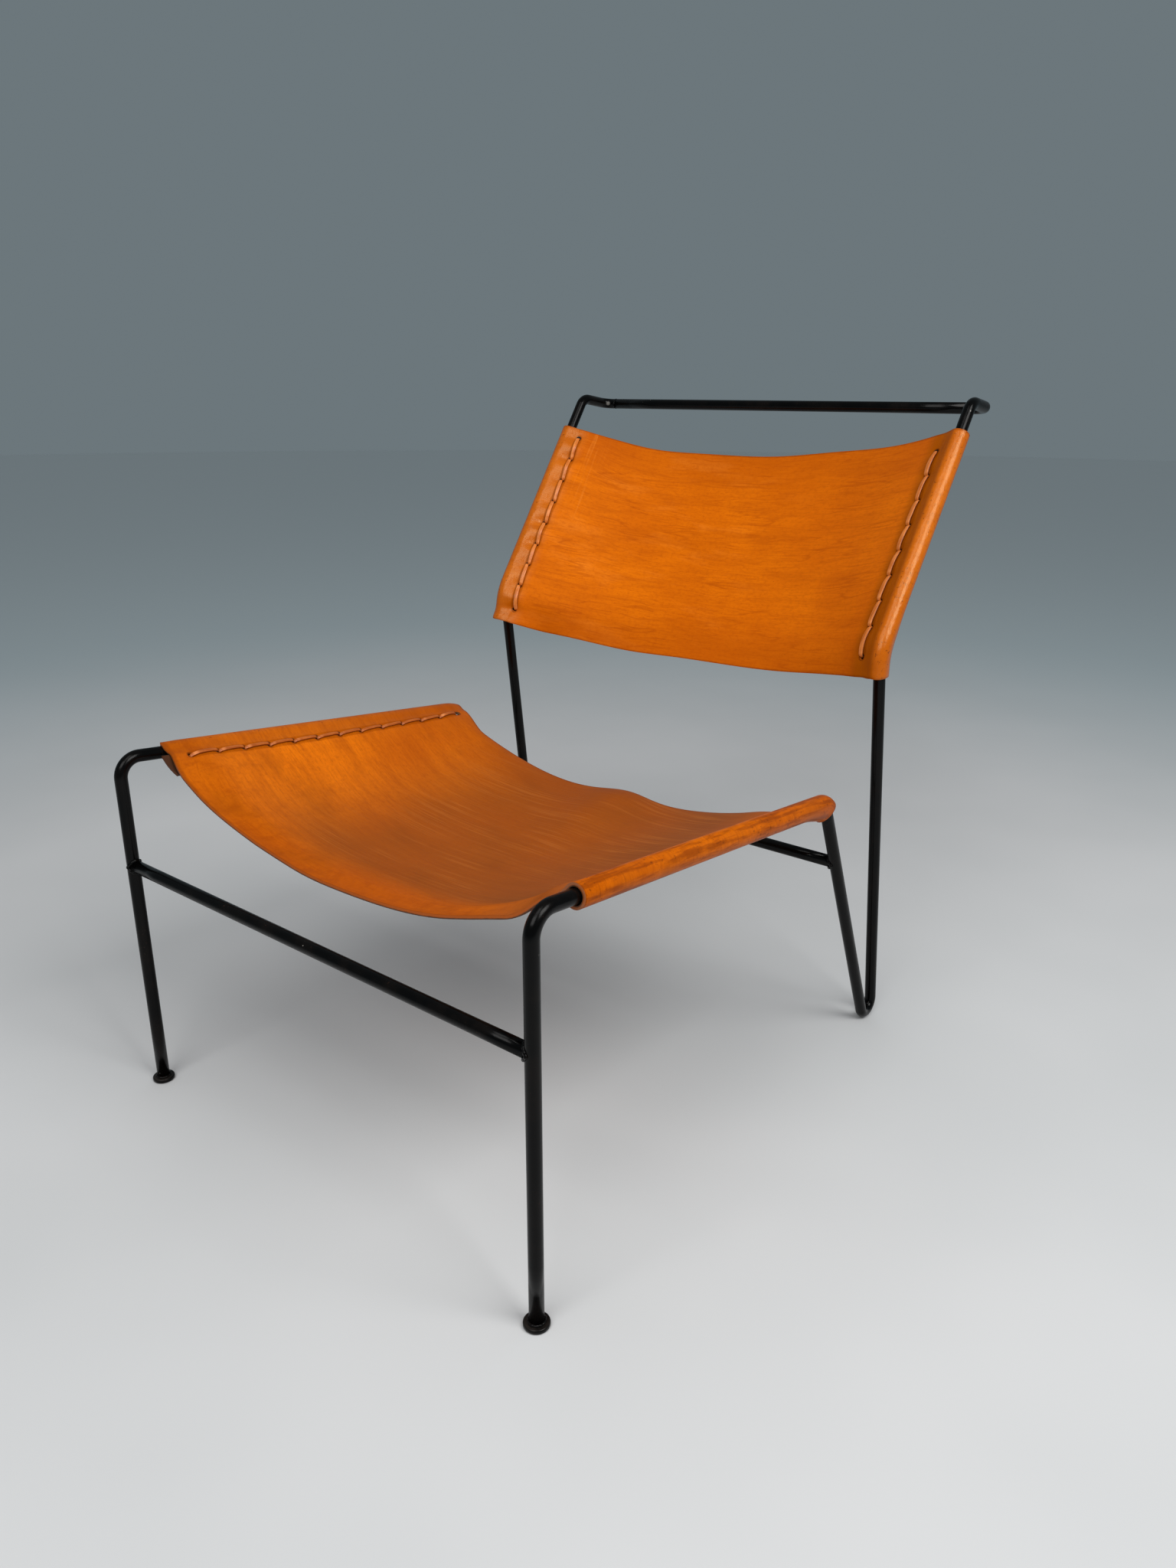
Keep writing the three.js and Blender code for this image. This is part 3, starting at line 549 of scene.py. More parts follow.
def lace_stops(holes, full_width, seed):
    """Stops of a thong that goes there and back along the holes: distance, lift, sideways place and width."""
    draw = np.random.default_rng(seed)
    last = len(holes) - 1
    stops = [(holes[0] - before, -THONG_LIFT, THONG_SIDE, THONG_NECK) for before in THONG_TUCK]

    def through(k, face, across):
        """From one face to the other in a hole."""
        inside = face * THONG_LIFT * 0.45
        stops.extend((holes[k], lift, across, THONG_NECK) for lift in (inside, -inside))

    def stitch(k, to, face):
        """One stitch, with its ends on opposite sides of the line of holes. Returns where its end lies."""
        begin = THONG_SIDE * face * (1 if to > k else -1)
        proud = draw.uniform(0.0, 0.7)
        sway = draw.uniform(-0.4, 0.4)
        lift = THONG_LIFT + 0.35 * proud
        width = full_width * (0.9 + 0.22 * proud)
        for t in STITCH_STOPS:
            arch = math.sin(math.pi * t)
            lump = hump(t if to > k else 1 - t, 0.16, 0.12)
            rise = 0.15 * arch + 0.4 * lump
            across = lerp(begin, -begin, t) + sway * arch
            stops.append((lerp(holes[k], holes[to], t), face * (lift + rise), across,
                          lerp(THONG_NECK, width, arch**0.3)))
        return -begin

    through(0, -1, THONG_SIDE)
    for k in range(last):
        face = -1 if k % 2 else 1
        through(k + 1, face, stitch(k, k + 1, face))
    turn = -1 if last % 2 else 1
    for k in range(last, 0, -1):
        face = -turn if (last - k) % 2 else turn
        end = stitch(k, k - 1, face)
        if k > 1:
            through(k - 1, face, end)
    return np.array(stops)


def squared_off(wave):
    return np.sign(wave) * abs(wave) ** THONG_SQUARE


def lace_mesh(sling, side, name, material, full_width, seed):
    """A flat thong with a stitch on both faces of every gap. Returns the piece and its length."""
    stops = lace_stops(sling.holes, full_width, seed)
    # Cutting the corners off a few times rounds the path.
    for _ in range(THONG_ROUNDS):
        a, b = stops[:-1], stops[1:]
        mid = np.stack([lerp(a, b, 0.25), lerp(a, b, 0.75)], axis=1).reshape(-1, 4)
        stops = np.concatenate([stops[:1], mid, stops[-1:]])
    s, lift, across, width = stops.T
    n = len(s)
    over, under = (sling.surface(s, np.full(n, side), np.full(n, k), SETBACK + across) for k in (SHEET, FLAP))
    up = over.up
    p = (over.point + under.point) / 2 + up * lift[:, None]
    sideways = unit(np.cross(over.along, up))
    thick = unit(np.cross(sideways, unit(np.gradient(p, axis=0))))
    turn = full_turn(THONG_SIDES)
    flatten, rounder = squared_off(np.cos(turn)), squared_off(np.sin(turn))
    rings = p[:, None] + sideways[:, None] * (flatten[None, :, None] * width[:, None, None] / 2)
    rings = rings + thick[:, None] * (rounder[None, :, None] * THONG_THICK / 2)
    points, faces = skin(rings)
    run = running_length(p)
    lengthwise, lifted = (np.repeat(v * MM, THONG_SIDES) for v in (run, abs(lift)))
    flat = np.stack([lengthwise, np.tile(flatten, n), lifted], axis=1)
    facing = np.sign((thick * up).sum(axis=1) * lift)
    top = np.zeros_like(flat)
    top[:, 0] = (rounder[None] * facing[:, None]).ravel()
    return mesh_object(name, points, faces, [material], None, {"flat": flat, "top": top}), run[-1] * MM


class Nodes:
    """The nodes of a material or of the world, and short ways to add to them."""

    def __init__(self, owner):
        owner.use_nodes = True
        self.tree = owner.node_tree

    def set(self, socket, value):
        if isinstance(value, bpy.types.NodeSocket):
            self.tree.links.new(value, socket)
        elif socket.type == "RGBA":
            socket.default_value = (*value, 1.0)
        else:
            socket.default_value = value

    def add(self, kind, inputs=(), **settings):
        node = self.tree.nodes.new(kind)
        for key, value in settings.items():
            setattr(node, key, value)
        for key, value in dict(inputs).items():
            self.set(node.inputs[key], value)
        return node

    def attribute(self, name):
        """A vector kept with the mesh, whole and in its three parts."""
        vector = self.add("ShaderNodeAttribute", attribute_name=name).outputs["Vector"]
        return vector, *self.add("ShaderNodeSeparateXYZ", {0: vector}).outputs

    def place(self):
        return self.add("ShaderNodeTexCoord").outputs["Object"]

    def math(self, operation, a, b=0.0, c=0.0):
        return self.add("ShaderNodeMath", {0: a, 1: b, 2: c}, operation=operation).outputs[0]

    def product(self, first, *others):
        for other in others:
            first = self.math("MULTIPLY", first, other)
        return first

    def off(self, value, centre):
        """How far a value is from a centre."""
        return self.math("ABSOLUTE", self.math("SUBTRACT", value, centre))

    def vector(self, x, y):
        return self.add("ShaderNodeCombineXYZ", {0: x, 1: y, 2: 0.0}).outputs[0]

    def noise(self, vector, scale, detail=2.0, roughness=0.55, distortion=0.0):
        inputs = {"Vector": vector, "Scale": scale, "Detail": detail}
        inputs.update(Roughness=roughness, Distortion=distortion)
        return self.add("ShaderNodeTexNoise", inputs).outputs["Fac"]

    def drawn_out(self, vector, x, y, *looks):
        """Noise with its own scale in each direction."""
        scaled = self.add("ShaderNodeVectorMath", {0: vector, 1: (x, y, 0.0)}, operation="MULTIPLY")
        return self.noise(scaled.outputs[0], 1.0, *looks)

    def band(self, value, low, high, out_low=0.0, out_high=1.0):
        """The value taken smoothly from one range to another."""
        inputs = {"Value": value, "From Min": low, "From Max": high, "To Min": out_low, "To Max": out_high}
        return self.add("ShaderNodeMapRange", inputs, interpolation_type="SMOOTHSTEP").outputs["Result"]

    def blend(self, factor, a, b):
        """One colour going over into another."""
        node = self.add("ShaderNodeMix", data_type="RGBA")
        for key, value in ((0, factor), (6, a), (7, b)):
            self.set(node.inputs[key], value)
        return node.outputs[2]


class Surface(Nodes):
    """A material with its colour, gloss and relief so far."""

    def __init__(self, name):
        self.material = bpy.data.materials.new(name)
        super().__init__(self.material)
        self.shader = next(n for n in self.tree.nodes if n.type == "BSDF_PRINCIPLED")
        self.colour = self.gloss = self.relief = None

    def stain(self, mask, share, tint):
        """Lays a share of a tint on the colour where the mask says."""
        self.colour = self.blend(self.product(mask, share), self.colour, tint)

    def matt(self, mask, share):
        """Takes a share of the gloss away where the mask says."""
        self.gloss = self.product(self.gloss, self.math("SUBTRACT", 1.0, self.product(mask, share)))

    def emboss(self, height, distance, strength):
        """Lays a relief on what is there."""
        inputs = {"Height": height, "Distance": distance, "Strength": strength}
        if self.relief is not None:
            inputs["Normal"] = self.relief
        self.relief = self.add("ShaderNodeBump", inputs).outputs["Normal"]

    def finish(self, **inputs):
        """The material, with other settings of its surface."""
        own = {"Base_Color": self.colour, "Specular_IOR_Level": self.gloss, "Normal": self.relief}
        for key, value in {**own, **inputs}.items():
            if value is not None:
                self.set(self.shader.inputs[key.replace("_", " ")], value)
        return self.material


class Hide(Surface):
    """A hide's material, which knows where each point lies on the hide, in metres.

    a runs across from the middle, b along from the first edge and from_rod inwards from the rod.
    edge and hole are the distances to the nearest edge and hole.
    wrap is below nought on the sheet, from nought to one round the rod and two on the flap.
    """

    def __init__(self, name):
        super().__init__(name)
        self.flat, self.a, self.b, self.edge = self.attribute("flat")
        _, self.hole, self.from_rod, self.wrap = self.attribute("mark")

    def figure(self, x, y, *looks):
        return self.drawn_out(self.flat, x, y, *looks)

    def streaks(self, tilt, wave, along, across, detail):
        """Noise drawn out across the sheet, along lines that lean a little and wander."""
        line = self.math("MULTIPLY_ADD", self.figure(5.0, 9.0), wave, self.b)
        line = self.math("MULTIPLY_ADD", self.a, tilt, line)
        return self.drawn_out(self.vector(self.a, line), along, across, detail, 0.62)


SEAT_TONES = Record(
    light=(0.61, 0.136, 0.001), mid=(0.51, 0.103, 0.0007), dark=(0.31, 0.052, 0.0006),
    shares=(0.32, 0.24, 0.32, 0.34, 0.24), gloss=0.12, polish_gloss=0.08, polish_smooth=0.09,
    right_turn=3.0, first_hole=SEAT_MARGIN * MM,
)
BACK_TONES = Record(
    light=(0.715, 0.16, 0.0011), mid=(0.61, 0.125, 0.0008), dark=(0.385, 0.063, 0.0005),
    shares=(0.32, 0.26, 0.4, 0.34, 0.46), gloss=0.07, polish_gloss=0.38, polish_smooth=0.2,
    right_turn=0.26, first_hole=BACK_MARGIN * MM,
)


def seat_ground(n):
    """The seat's front lip, painted lighter as a highlight, and its left side, painted lighter where it faces
    the lamps, both scuffed.
    """
    # The lighter band along the front lip is a painted highlight, brightest towards the right.
    n.lip = n.band(n.b, 0.05, 0.018)
    lip_highlight_tint = n.blend(n.band(n.a, 0.06, 0.2), (0.53, 0.104, 0.0006), (0.76, 0.165, 0.001))
    n.stain(n.lip, 0.6, lip_highlight_tint)
    # Painted light: the left front is lighter because that side faces the lamps.
    lit_left = n.product(n.band(n.a, -0.1, -0.2), n.band(n.b, 0.3, 0.14))
    n.stain(lit_left, 0.6, (0.8, 0.19, 0.0012))
    scuff = n.band(n.figure(52, 34, 5, 0.72), 0.46, 0.66)
    scuff = n.product(scuff, n.math("MAXIMUM", n.lip, n.product(lit_left, 0.5)))
    n.stain(scuff, 0.5, n.dark)


def back_ground(n):
    """Pale streaks on the left half of the back, a painted highlight where that half catches the light."""
    # Painted highlight: pale streaks where the left half catches the light.
    pale_highlight = n.band(n.streaks(0.02, 0.02, 7, 24, 4), 0.5, 0.7)
    n.stain(n.product(pale_highlight, n.band(n.a, 0.14, -0.08)), 0.36, (0.88, 0.25, 0.02))


def seat_wear(n):
    """A middle dark from use, painted greyer towards the right as a sheen, with pale creases across it, and
    dark rubbed streaks on the right sleeve.
    """
    golden = n.band(n.figure(13, 15, 3), 0.5, 0.68)
    n.stain(golden, 0.38, (0.29, 0.06, 0.0005))
    worn = n.product(n.band(n.off(n.a, 0.03), 0.27, 0.11), n.band(n.b, 0.026, 0.085))
    worn = n.product(worn, n.band(n.cloud, 0.1, 0.8, 0.65, 1.0))
    # The worn tint turns greyer towards the right, a painted sheen of the grey room.
    worn_and_sheen_tint = n.blend(n.band(n.a, 0.0, 0.22), (0.232, 0.054, 0.0065), (0.196, 0.06, 0.016))
    n.stain(worn, 0.86, worn_and_sheen_tint)
    bow = n.math("MULTIPLY_ADD", n.math("POWER", n.math("ABSOLUTE", n.a), 2.0), 0.9, n.b)
    crease = n.noise(n.vector(n.product(n.a, 1.7), n.product(bow, 110)), 1, 3, 0.55, 0.25)
    crease = n.product(n.band(n.off(crease, 0.5), 0.034, 0.004), n.band(n.figure(11, 11), 0.34, 0.62), worn)
    n.stain(crease, 0.24, (0.62, 0.2, 0.035))
    right_corner = n.product(n.band(n.a, 0.15, 0.23), n.band(n.b, 0.055, 0.015))
    n.stain(n.product(right_corner, n.band(n.from_rod, 0.004, 0.014)), 0.62, (0.27, 0.07, 0.012))
    left_strip = n.product(n.band(n.from_rod, 0.019, 0.014), n.math("SUBTRACT", 1.0, n.right))
    n.stain(left_strip, 0.38, (0.28, 0.052, 0.0006))
    n.matt(n.lip, 0.5)
    sleeve = n.product(n.right, n.band(n.wrap, -0.6, 0.0))
    n.matt(sleeve, 0.6)
    rubbed = n.product(n.band(n.figure(190, 16, 4, 0.6), 0.44, 0.62), sleeve)
    n.stain(rubbed, 0.72, (0.21, 0.036, 0.0015))
    crack = n.product(n.band(n.figure(30, 420, 3), 0.63, 0.72), sleeve)
    n.stain(crack, 0.6, (0.12, 0.02, 0.001))
    n.emboss(n.product(crease, -1.0), 0.0006, 0.3)


def back_wear(n):
    """Polished sleeves, a fold beside the right lacing darkened by stain and painted shade, and pale creases
    beside the left one.
    """
    n.stain(n.polish, 0.5, (0.42, 0.098, 0.0008))
    # The fold beside the right lacing: part stain, part painted shade in the valley.
    fold = n.product(n.band(n.from_rod, 0.038, 0.022), n.band(n.from_rod, -0.001, 0.006), n.right)
    n.stain(fold, 0.7, (0.29, 0.064, 0.0006))
    n.matt(fold, 0.9)
    crease = n.product(n.band(n.figure(260, 9), 0.52, 0.7), n.band(n.b, 0.12, 0.2))
    beside = n.product(n.band(n.a, -0.212, -0.232), n.band(n.a, -0.258, -0.248))
    n.stain(n.product(crease, beside), 0.24, (0.86, 0.27, 0.03))
    n.emboss(n.figure(170, 75, 3), 0.0016, n.product(n.polish, 0.42))


def grain_leather(name, tones, ground, wear):
    """The hide's grain side: waxed cognac drawn across the sheet, with polished sleeves and dark edges."""
    n = Hide(name)
    n.dark = tones.dark
    n.cloud = n.figure(8, 8, 3)
    n.colour = n.blend(n.band(n.cloud, 0.3, 0.7), tones.mid, tones.light)
    ground(n)
    hair = n.streaks(0.03, 0.01, 30, 520, 4)
    vein = n.band(n.off(n.streaks(-0.03, 0.024, 5, 58, 2), 0.5), 0.022, 0.003)
    patterns = (
        n.band(n.streaks(0.05, 0.012, 6, 42, 3), 0.42, 0.72),
        n.band(n.streaks(-0.06, 0.018, 12, 120, 3), 0.46, 0.72),
        n.band(hair, 0.46, 0.74),
        n.band(n.figure(170, 300, 5, 0.7), 0.44, 0.68),
        n.product(vein, n.band(n.figure(9, 15), 0.42, 0.58)),
    )
    for pattern, share in zip(patterns, tones.shares):
        n.stain(pattern, share, n.dark)
    pore = n.product(n.band(n.noise(n.flat, 430), 0.69, 0.75), n.band(n.noise(n.flat, 10), 0.5, 0.6))
    n.stain(pore, 0.6, (0.2, 0.034, 0.001))
    n.stain(n.band(n.edge, 0.08, 0.0), 0.42, n.dark)
    n.polish = n.band(n.from_rod, 0.034, 0.012)
    n.gloss = n.math("MULTIPLY_ADD", n.polish, tones.polish_gloss, tones.gloss)
    gloss_tint = n.blend(n.polish, (1.0, 0.66, 0.4), (1.0, 0.84, 0.48))
    roughness = n.band(n.cloud, 0.25, 0.75, 0.42, 0.52)
    roughness = n.math("SUBTRACT", roughness, n.product(n.polish, tones.polish_smooth))
    pebbles = n.add("ShaderNodeTexVoronoi", {"Vector": n.flat, "Scale": 900.0}).outputs["Distance"]
    pebbles = n.math("MULTIPLY_ADD", pebbles, 0.7, n.product(n.noise(n.flat, 1500), 0.5))
    n.emboss(pebbles, 0.00012, 0.35)
    n.emboss(hair, 0.0004, 0.12)
    n.emboss(n.figure(55, 55), 0.0022, 0.12)
    # The side of the sleeve turned away from the light is darker.
    n.right = n.band(n.a, 0.0, 0.05)
    away = n.math("SUBTRACT", n.wrap, n.product(n.right, tones.right_turn))
    n.stain(n.band(away, 0.17, 0.32), 0.85, (0.135, 0.03, 0.004))
    wear(n)
    # Nicks on the crest of the sleeves, dark edges and dark stain round the holes.
    on_crest = n.product(n.band(n.wrap, -0.5, 0.02), n.band(n.wrap, 0.75, 0.55))
    nick = n.product(n.band(n.figure(340, 230, 4, 0.65), 0.58, 0.66), n.band(n.figure(24, 24), 0.38, 0.54))
    n.stain(n.product(nick, on_crest), 0.75, (0.11, 0.02, 0.002))
    ragged = n.math("MULTIPLY_ADD", n.noise(n.flat, 160, 3), 0.0018, n.edge)
    n.stain(n.band(ragged, 0.0038, 0.0014), 0.55, (0.17, 0.032, 0.002))
    n.stain(n.band(n.hole, 0.0046, 0.0028), 0.75, (0.1, 0.018, 0.002))
    # Dark lines on the sheet along both edges of the thong.
    thong_edge_lines = n.band(n.off(n.from_rod, SETBACK * MM), 0.0052, 0.0036)
    thong_edge_lines = n.product(thong_edge_lines, n.band(n.edge, tones.first_hole, tones.first_hole + 0.004))
    n.stain(thong_edge_lines, 0.42, (0.19, 0.034, 0.002))
    n.matt(thong_edge_lines, 0.7)
    return n.finish(Roughness=roughness, Specular_Tint=gloss_tint)


def flesh_leather(name):
    """The hide's flesh side: matt fibres, browner than the grain."""
    n = Hide(name)
    fibre = n.figure(90, 150, 6, 0.7, 0.6)
    n.colour = n.blend(n.band(n.figure(9, 9, 3), 0.3, 0.7), (0.13, 0.052, 0.019), (0.185, 0.076, 0.028))
    n.stain(n.band(fibre, 0.45, 0.75), 0.45, (0.08, 0.029, 0.01))
    n.stain(n.band(n.edge, 0.006, 0.001), 1.0, (0.085, 0.027, 0.008))
    # Painted shade on the flap, which lies under the sheet.
    n.stain(n.band(n.wrap, 1.2, 1.9), 0.65, (0.04, 0.015, 0.006))
    n.emboss(fibre, 0.0008, 0.5)
    return n.finish(Roughness=0.85, Specular_IOR_Level=0.2)


def cut_leather(name):
    """Cut edges: burnished with the grain's colour above, dark below, and raw hide where they are worn."""
    n = Hide(name)
    depth = n.attribute("depth")[1]
    spots = n.noise(n.flat, 90, 4, 0.6)
    deep = n.math("MULTIPLY_ADD", spots, 0.5, n.math("SUBTRACT", depth, 0.25))
    upper = n.blend(n.band(n.b, 0.03, 0.2), (0.4, 0.08, 0.002), (0.12, 0.06, 0.03))
    n.colour = n.blend(n.band(deep, 0.5, 0.85), upper, (0.085, 0.03, 0.01))
    # Painted shade on the cut edges behind the rod and on the flap under the sheet.
    n.stain(n.band(n.wrap, 0.9, 1.8), 1.0, (0.085, 0.026, 0.008))
    n.stain(n.band(n.figure(70, 70, 4, 0.7), 0.7, 0.76), 0.8, (0.5, 0.26, 0.14))
    raw = n.product(n.band(n.a, 0.272, 0.285), n.band(n.b, 0.02, 0.0), n.band(depth, 0.8, 0.4))
    n.stain(raw, n.band(spots, 0.3, 0.55, 0.2, 0.8), (0.26, 0.1, 0.045))
    n.emboss(n.noise(n.flat, 700, 3), 0.0003, 0.4)
    return n.finish(Roughness=0.5, Specular_IOR_Level=0.3)


def lace_leather(name, deep_tan, pale_tan, lump_highlight_tan):
    """The thong: tan and polished on top, with a painted highlight on its highest lumps, and painted shade
    where it lies on the sheet and where it goes into a hole.
    """
    n = Surface(name)
    flat, _, across, lift = n.attribute("flat")
    height = n.attribute("top")[1]
    patch = n.drawn_out(flat, 60, 0.6, 4, 0.6)
    n.colour = n.blend(n.band(patch, 0.3, 0.7), deep_tan, pale_tan)
    fibre = n.drawn_out(flat, 40, 3, 3)
    n.stain(n.band(fibre, 0.48, 0.64), 0.65, (0.27, 0.05, 0.004))
    # Painted highlight on the highest lumps of each stitch.
    n.stain(n.band(lift, 0.005, 0.00522), 0.75, lump_highlight_tan)
    n.stain(n.band(n.math("ABSOLUTE", across), 0.8, 0.98), 0.6, (0.18, 0.032, 0.003))
    # Painted shade on the thong's underside, deepest where it dips into a hole.
    n.stain(n.band(height, -0.15, -0.65), 1.0, (0.23, 0.046, 0.004))
    n.stain(n.band(lift, 0.0042, 0.0024), 1.0, (0.12, 0.024, 0.003))
    n.emboss(n.drawn_out(flat, 900, 3, 4, 0.6), 0.0004, 0.4)
    return n.finish(Roughness=n.band(patch, 0.3, 0.7, 0.3, 0.44))


# A bare spot on the left rod: how far before the rod's end it lies, and its offset from the axis there.
BARE_BEFORE_END, BARE_OFFSET = 13, (4.0, -5.2, 0.0)


def black_paint(name, dust):
    """Old brushed black paint on steel, with a brown cast where it is thin and small chips."""
    n = Surface(name)
    place = n.place()
    patch = n.noise(place, 28, 5, 0.6)
    n.colour = n.blend(n.band(patch, 0.42, 0.75), (0.0011, 0.001, 0.001), (0.0042, 0.0029, 0.0023))
    thin = n.product(n.band(n.noise(place, 420, 3, 0.6), 0.66, 0.76), n.band(patch, 0.48, 0.68))
    n.stain(thin, 0.7, (0.085, 0.04, 0.024))
    chip = n.product(n.band(n.noise(place, 260), 0.745, 0.765), n.band(n.noise(place, 17), 0.6, 0.66))
    n.stain(chip, 1.0, (0.3, 0.28, 0.26))
    spot, _ = rods[-1].at(rods[-1].length - BARE_BEFORE_END)
    spot = tuple((spot + BARE_OFFSET + yz(TO_ORIGIN, 0)) * MM)
    from_spot = n.add("ShaderNodeVectorMath", {0: place, 1: spot}, operation="DISTANCE").outputs["Value"]
    n.stain(n.band(from_spot, 0.0034, 0.0012), 0.55, (0.24, 0.23, 0.21))
    if dust:
        normal = n.add("ShaderNodeNewGeometry").outputs["Normal"]
        above = n.add("ShaderNodeSeparateXYZ", {0: normal}).outputs[2]
        settled = n.product(n.band(above, 0.2, 0.95), n.band(patch, 0.35, 0.7))
        n.stain(settled, dust, (0.16, 0.14, 0.125))
    n.emboss(n.noise(place, 230, 4, 0.6), 0.0004, 0.18)
    n.emboss(n.noise(place, 45), 0.001, 0.16)
    return n.finish(Roughness=n.band(patch, 0.3, 0.75, 0.16, 0.28), Specular_IOR_Level=0.13)


PAINT = black_paint("black_paint", dust=0.0)
GLIDE_PAINT = black_paint("glide_paint", dust=0.1)
SEAT_GRAIN = grain_leather("seat_grain", SEAT_TONES, seat_ground, seat_wear)
BACK_GRAIN = grain_leather("back_grain", BACK_TONES, back_ground, back_wear)
FLESH = flesh_leather("flesh_side")
CUT = cut_leather("cut_edge")
SEAT_LACE = lace_leather("seat_lace", (0.36, 0.078, 0.005), (0.52, 0.135, 0.016), (0.78, 0.27, 0.08))
BACK_LACE = lace_leather("back_lace", (0.6, 0.15, 0.014), (0.77, 0.245, 0.046), (0.82, 0.29, 0.08))


# Where the sheets lie on the rods. Distances run along the right rod's axis.
front_bend, rear_bend, _, knee_bend = rods[1].bends[:4]
rail_start = front_bend.begin + front_bend.span - front_bend.setback
seat_start = rail_start + SEAT_SETBACK
seat_end = rear_bend.begin + REAR_BEND * math.radians(SEAT_REAR_TURN)
rail_up = np.cross(X, rail_dir)
knee_middle = knee_bend.begin + knee_bend.span / 2
knee_end = knee_bend.begin + knee_bend.span
back_start = knee_bend.begin + knee_bend.setback - BACK_BELOW_KNEE
back_end = knee_end - knee_bend.setback + BACK_ABOVE_KNEE
back_dir = leaning(BACK_RECLINE)


def through3(t, first, mid, last):
    """A curve through three values at nought, a half and one."""
    return first * (1 - t) * (1 - 2 * t) + 4 * mid * t * (1 - t) + last * t * (2 * t - 1)


def seat_middle(part):
    along = lerp(seat_start, seat_end, part) - rail_start
    return front_corner + rail_dir * along - rail_up * through3(part, *SEAT_HANG)


def seat_ripple(x, part):
    """A swell and a dip in the seat's rear edge."""
    return hump(part, 1, 0.25) * (8 * hump(x, 20, 42) - 1.5 * hump(x, -75, 55))


def back_ripple(x, part):
    """The back has none."""
    return 0 * x * part


def middle_of(distance, depth):
    point, way = rods[1].at(distance)
    return with_x(point, 0) - unit(np.cross(X, way)) * depth


back_foot = middle_of(back_start, BACK_FOOT_HANG) - upright_up * BACK_FOOT_DROP
back_head = middle_of(back_end, BACK_HEAD_HANG)
back_out = np.cross(X, unit(back_head - back_foot))


def back_middle(part):
    return lerp(back_foot, back_head, part) - back_out * BACK_BOW * part * (1 - part)


def stray(s, straight):
    """How far the rod has bent away from a straight line, for distances along it."""
    places, back = np.unique(s, return_inverse=True)
    return np.array([straight(d) - with_x(rods[1].at(d)[0], 0) for d in places])[back.ravel()]


def rail_line(d):
    return front_corner + rail_dir * (d - rail_start)


def back_line(d):
    return knee + back_dir * (d - knee_end + knee_bend.setback)


def upper_sleeve(f):
    """One on the sheet's upper face beside the rod and over it, fading behind the rod and inwards."""
    behind = np.isin(f.kind, (RETURN, FLAP))
    over = np.select([f.kind == WRAP, behind], [until(f.q, 0.35, 0.35), 0.0], 1.0)
    return over * until(f.u, 14, 46)


def rear_sleeve(f):
    """One behind the rod, fading to nothing where the flap meets the sheet."""
    wrap, back = f.kind == WRAP, f.kind == RETURN
    return np.select([wrap, back], [past(f.q, 0.4, 0.3), until(f.q, 0, 1)], 0.0)


def seat_shape(sling, f):
    """Small shapes of the seat: puckers, a groove beside the rods, soft wrinkles and a drooping lip."""
    s, x, u, q = f.s, f.x, f.u, f.q
    wrap, back, flap = (f.kind == k for k in (WRAP, RETURN, FLAP))
    face = ~(wrap | back | flap)
    left = f.side < 0
    b, to_end = s - sling.start, sling.end - s
    wave = sling.stitch_wave(s)
    puckers = 0.6 * wave * hump(u, SETBACK, 7)
    groove = 0.7 * face * hump(u, 11.5, 3.5)
    thong_bed = 0.5 * np.abs(wave) * hump(u, SETBACK, 4.5) + 2.4 * ~left * hump(u, 20, 9)
    right_slack = 6.0 * ~left * face * hump(u, 40, 24) * until(to_end, 0, 110)
    lip = 1.0 * hump(b, 0, 8) + 4.0 * hump(x, -140, 90) * hump(b, 0, 45)
    lip = lip + 2.0 * past(x, -125, 60) * until(x, 150, 50) * hump(b, 0, 45)
    lip = lip - 4.4 * hump(x, 215, 20) * hump(b, 0, 30)
    crown = (6.5 + 0.8 * np.sin(x / 31 + 0.8)) * past(b, 0, 32) * until(b, 32, 90)
    wrinkles = 0.7 * np.sin(x / 37 + b / 90) * np.sin(b / 43 + 1.0) + 0.5 * np.sin(b / 24 + x / 60)
    hung = smooth(3 * f.fall)
    lift = puckers - groove - thong_bed - right_slack + hung * (lip + crown + wrinkles)
    straight = np.where(left, 0.9, 0.25) * upper_sleeve(f) * (s > rear_bend.begin)
    rear_pull = 8.0 * left * upper_sleeve(f) * until(to_end, 0, 30)
    # The left corner reaches forward below the rod, and the left holes lie back from it.
    forward = 7.7 * face * left * past(u, 6, 42) * until(u, 70, 115)
    forward = forward * until(b, 0, 10 + 35 * past(u, 26, 30))
    slide = 6.5 * left * past(b, 0, 8) * past(to_end, 10, 36) * until(u, 32, 78)
    corner = np.where(wrap, until(q, 0.12, 0.2), face * until(u, 6, 10)) * left * until(b, 0, 9)
    # The left flap's front end shows under the sheet and hangs down.
    behind = np.select([wrap, back], [past(q, 0.15, 0.35), until(q, 0, 0.5)], 0.0)
    ahead = np.select([flap, back], [1.0, past(q, 0, 0.5)], 0.0)
    tail = flap * np.clip((u - 8) / 20, 0, 1) * left * until(b, 0, 20)
    reach = (9.0 * behind - (8.0 - 3.0 * tail) * ahead) * left * until(b, 0, 22)
    sink = 0.8 * corner + 3.0 * np.sin(0.75 * math.pi * tail)
    # The right sleeve is loose at the rear.
    loose = np.select([wrap, back, flap], [past(q, 0.35, 0.45), 1 - 0.35 * q, 0.65], 0.0)
    bulge = 7.0 * loose * ~left * until(to_end, 0, 60)
    move = f.up * (lift - sink)[:, None] + stray(s, rail_line) * straight[:, None]
    move += np.outer(rear_pull + slide - forward + reach - 3.0 * corner, rail_dir)
    move -= np.cross(f.along, f.up) * (8.0 * f.side * tail)[:, None]
    return move - f.out * bulge[:, None]


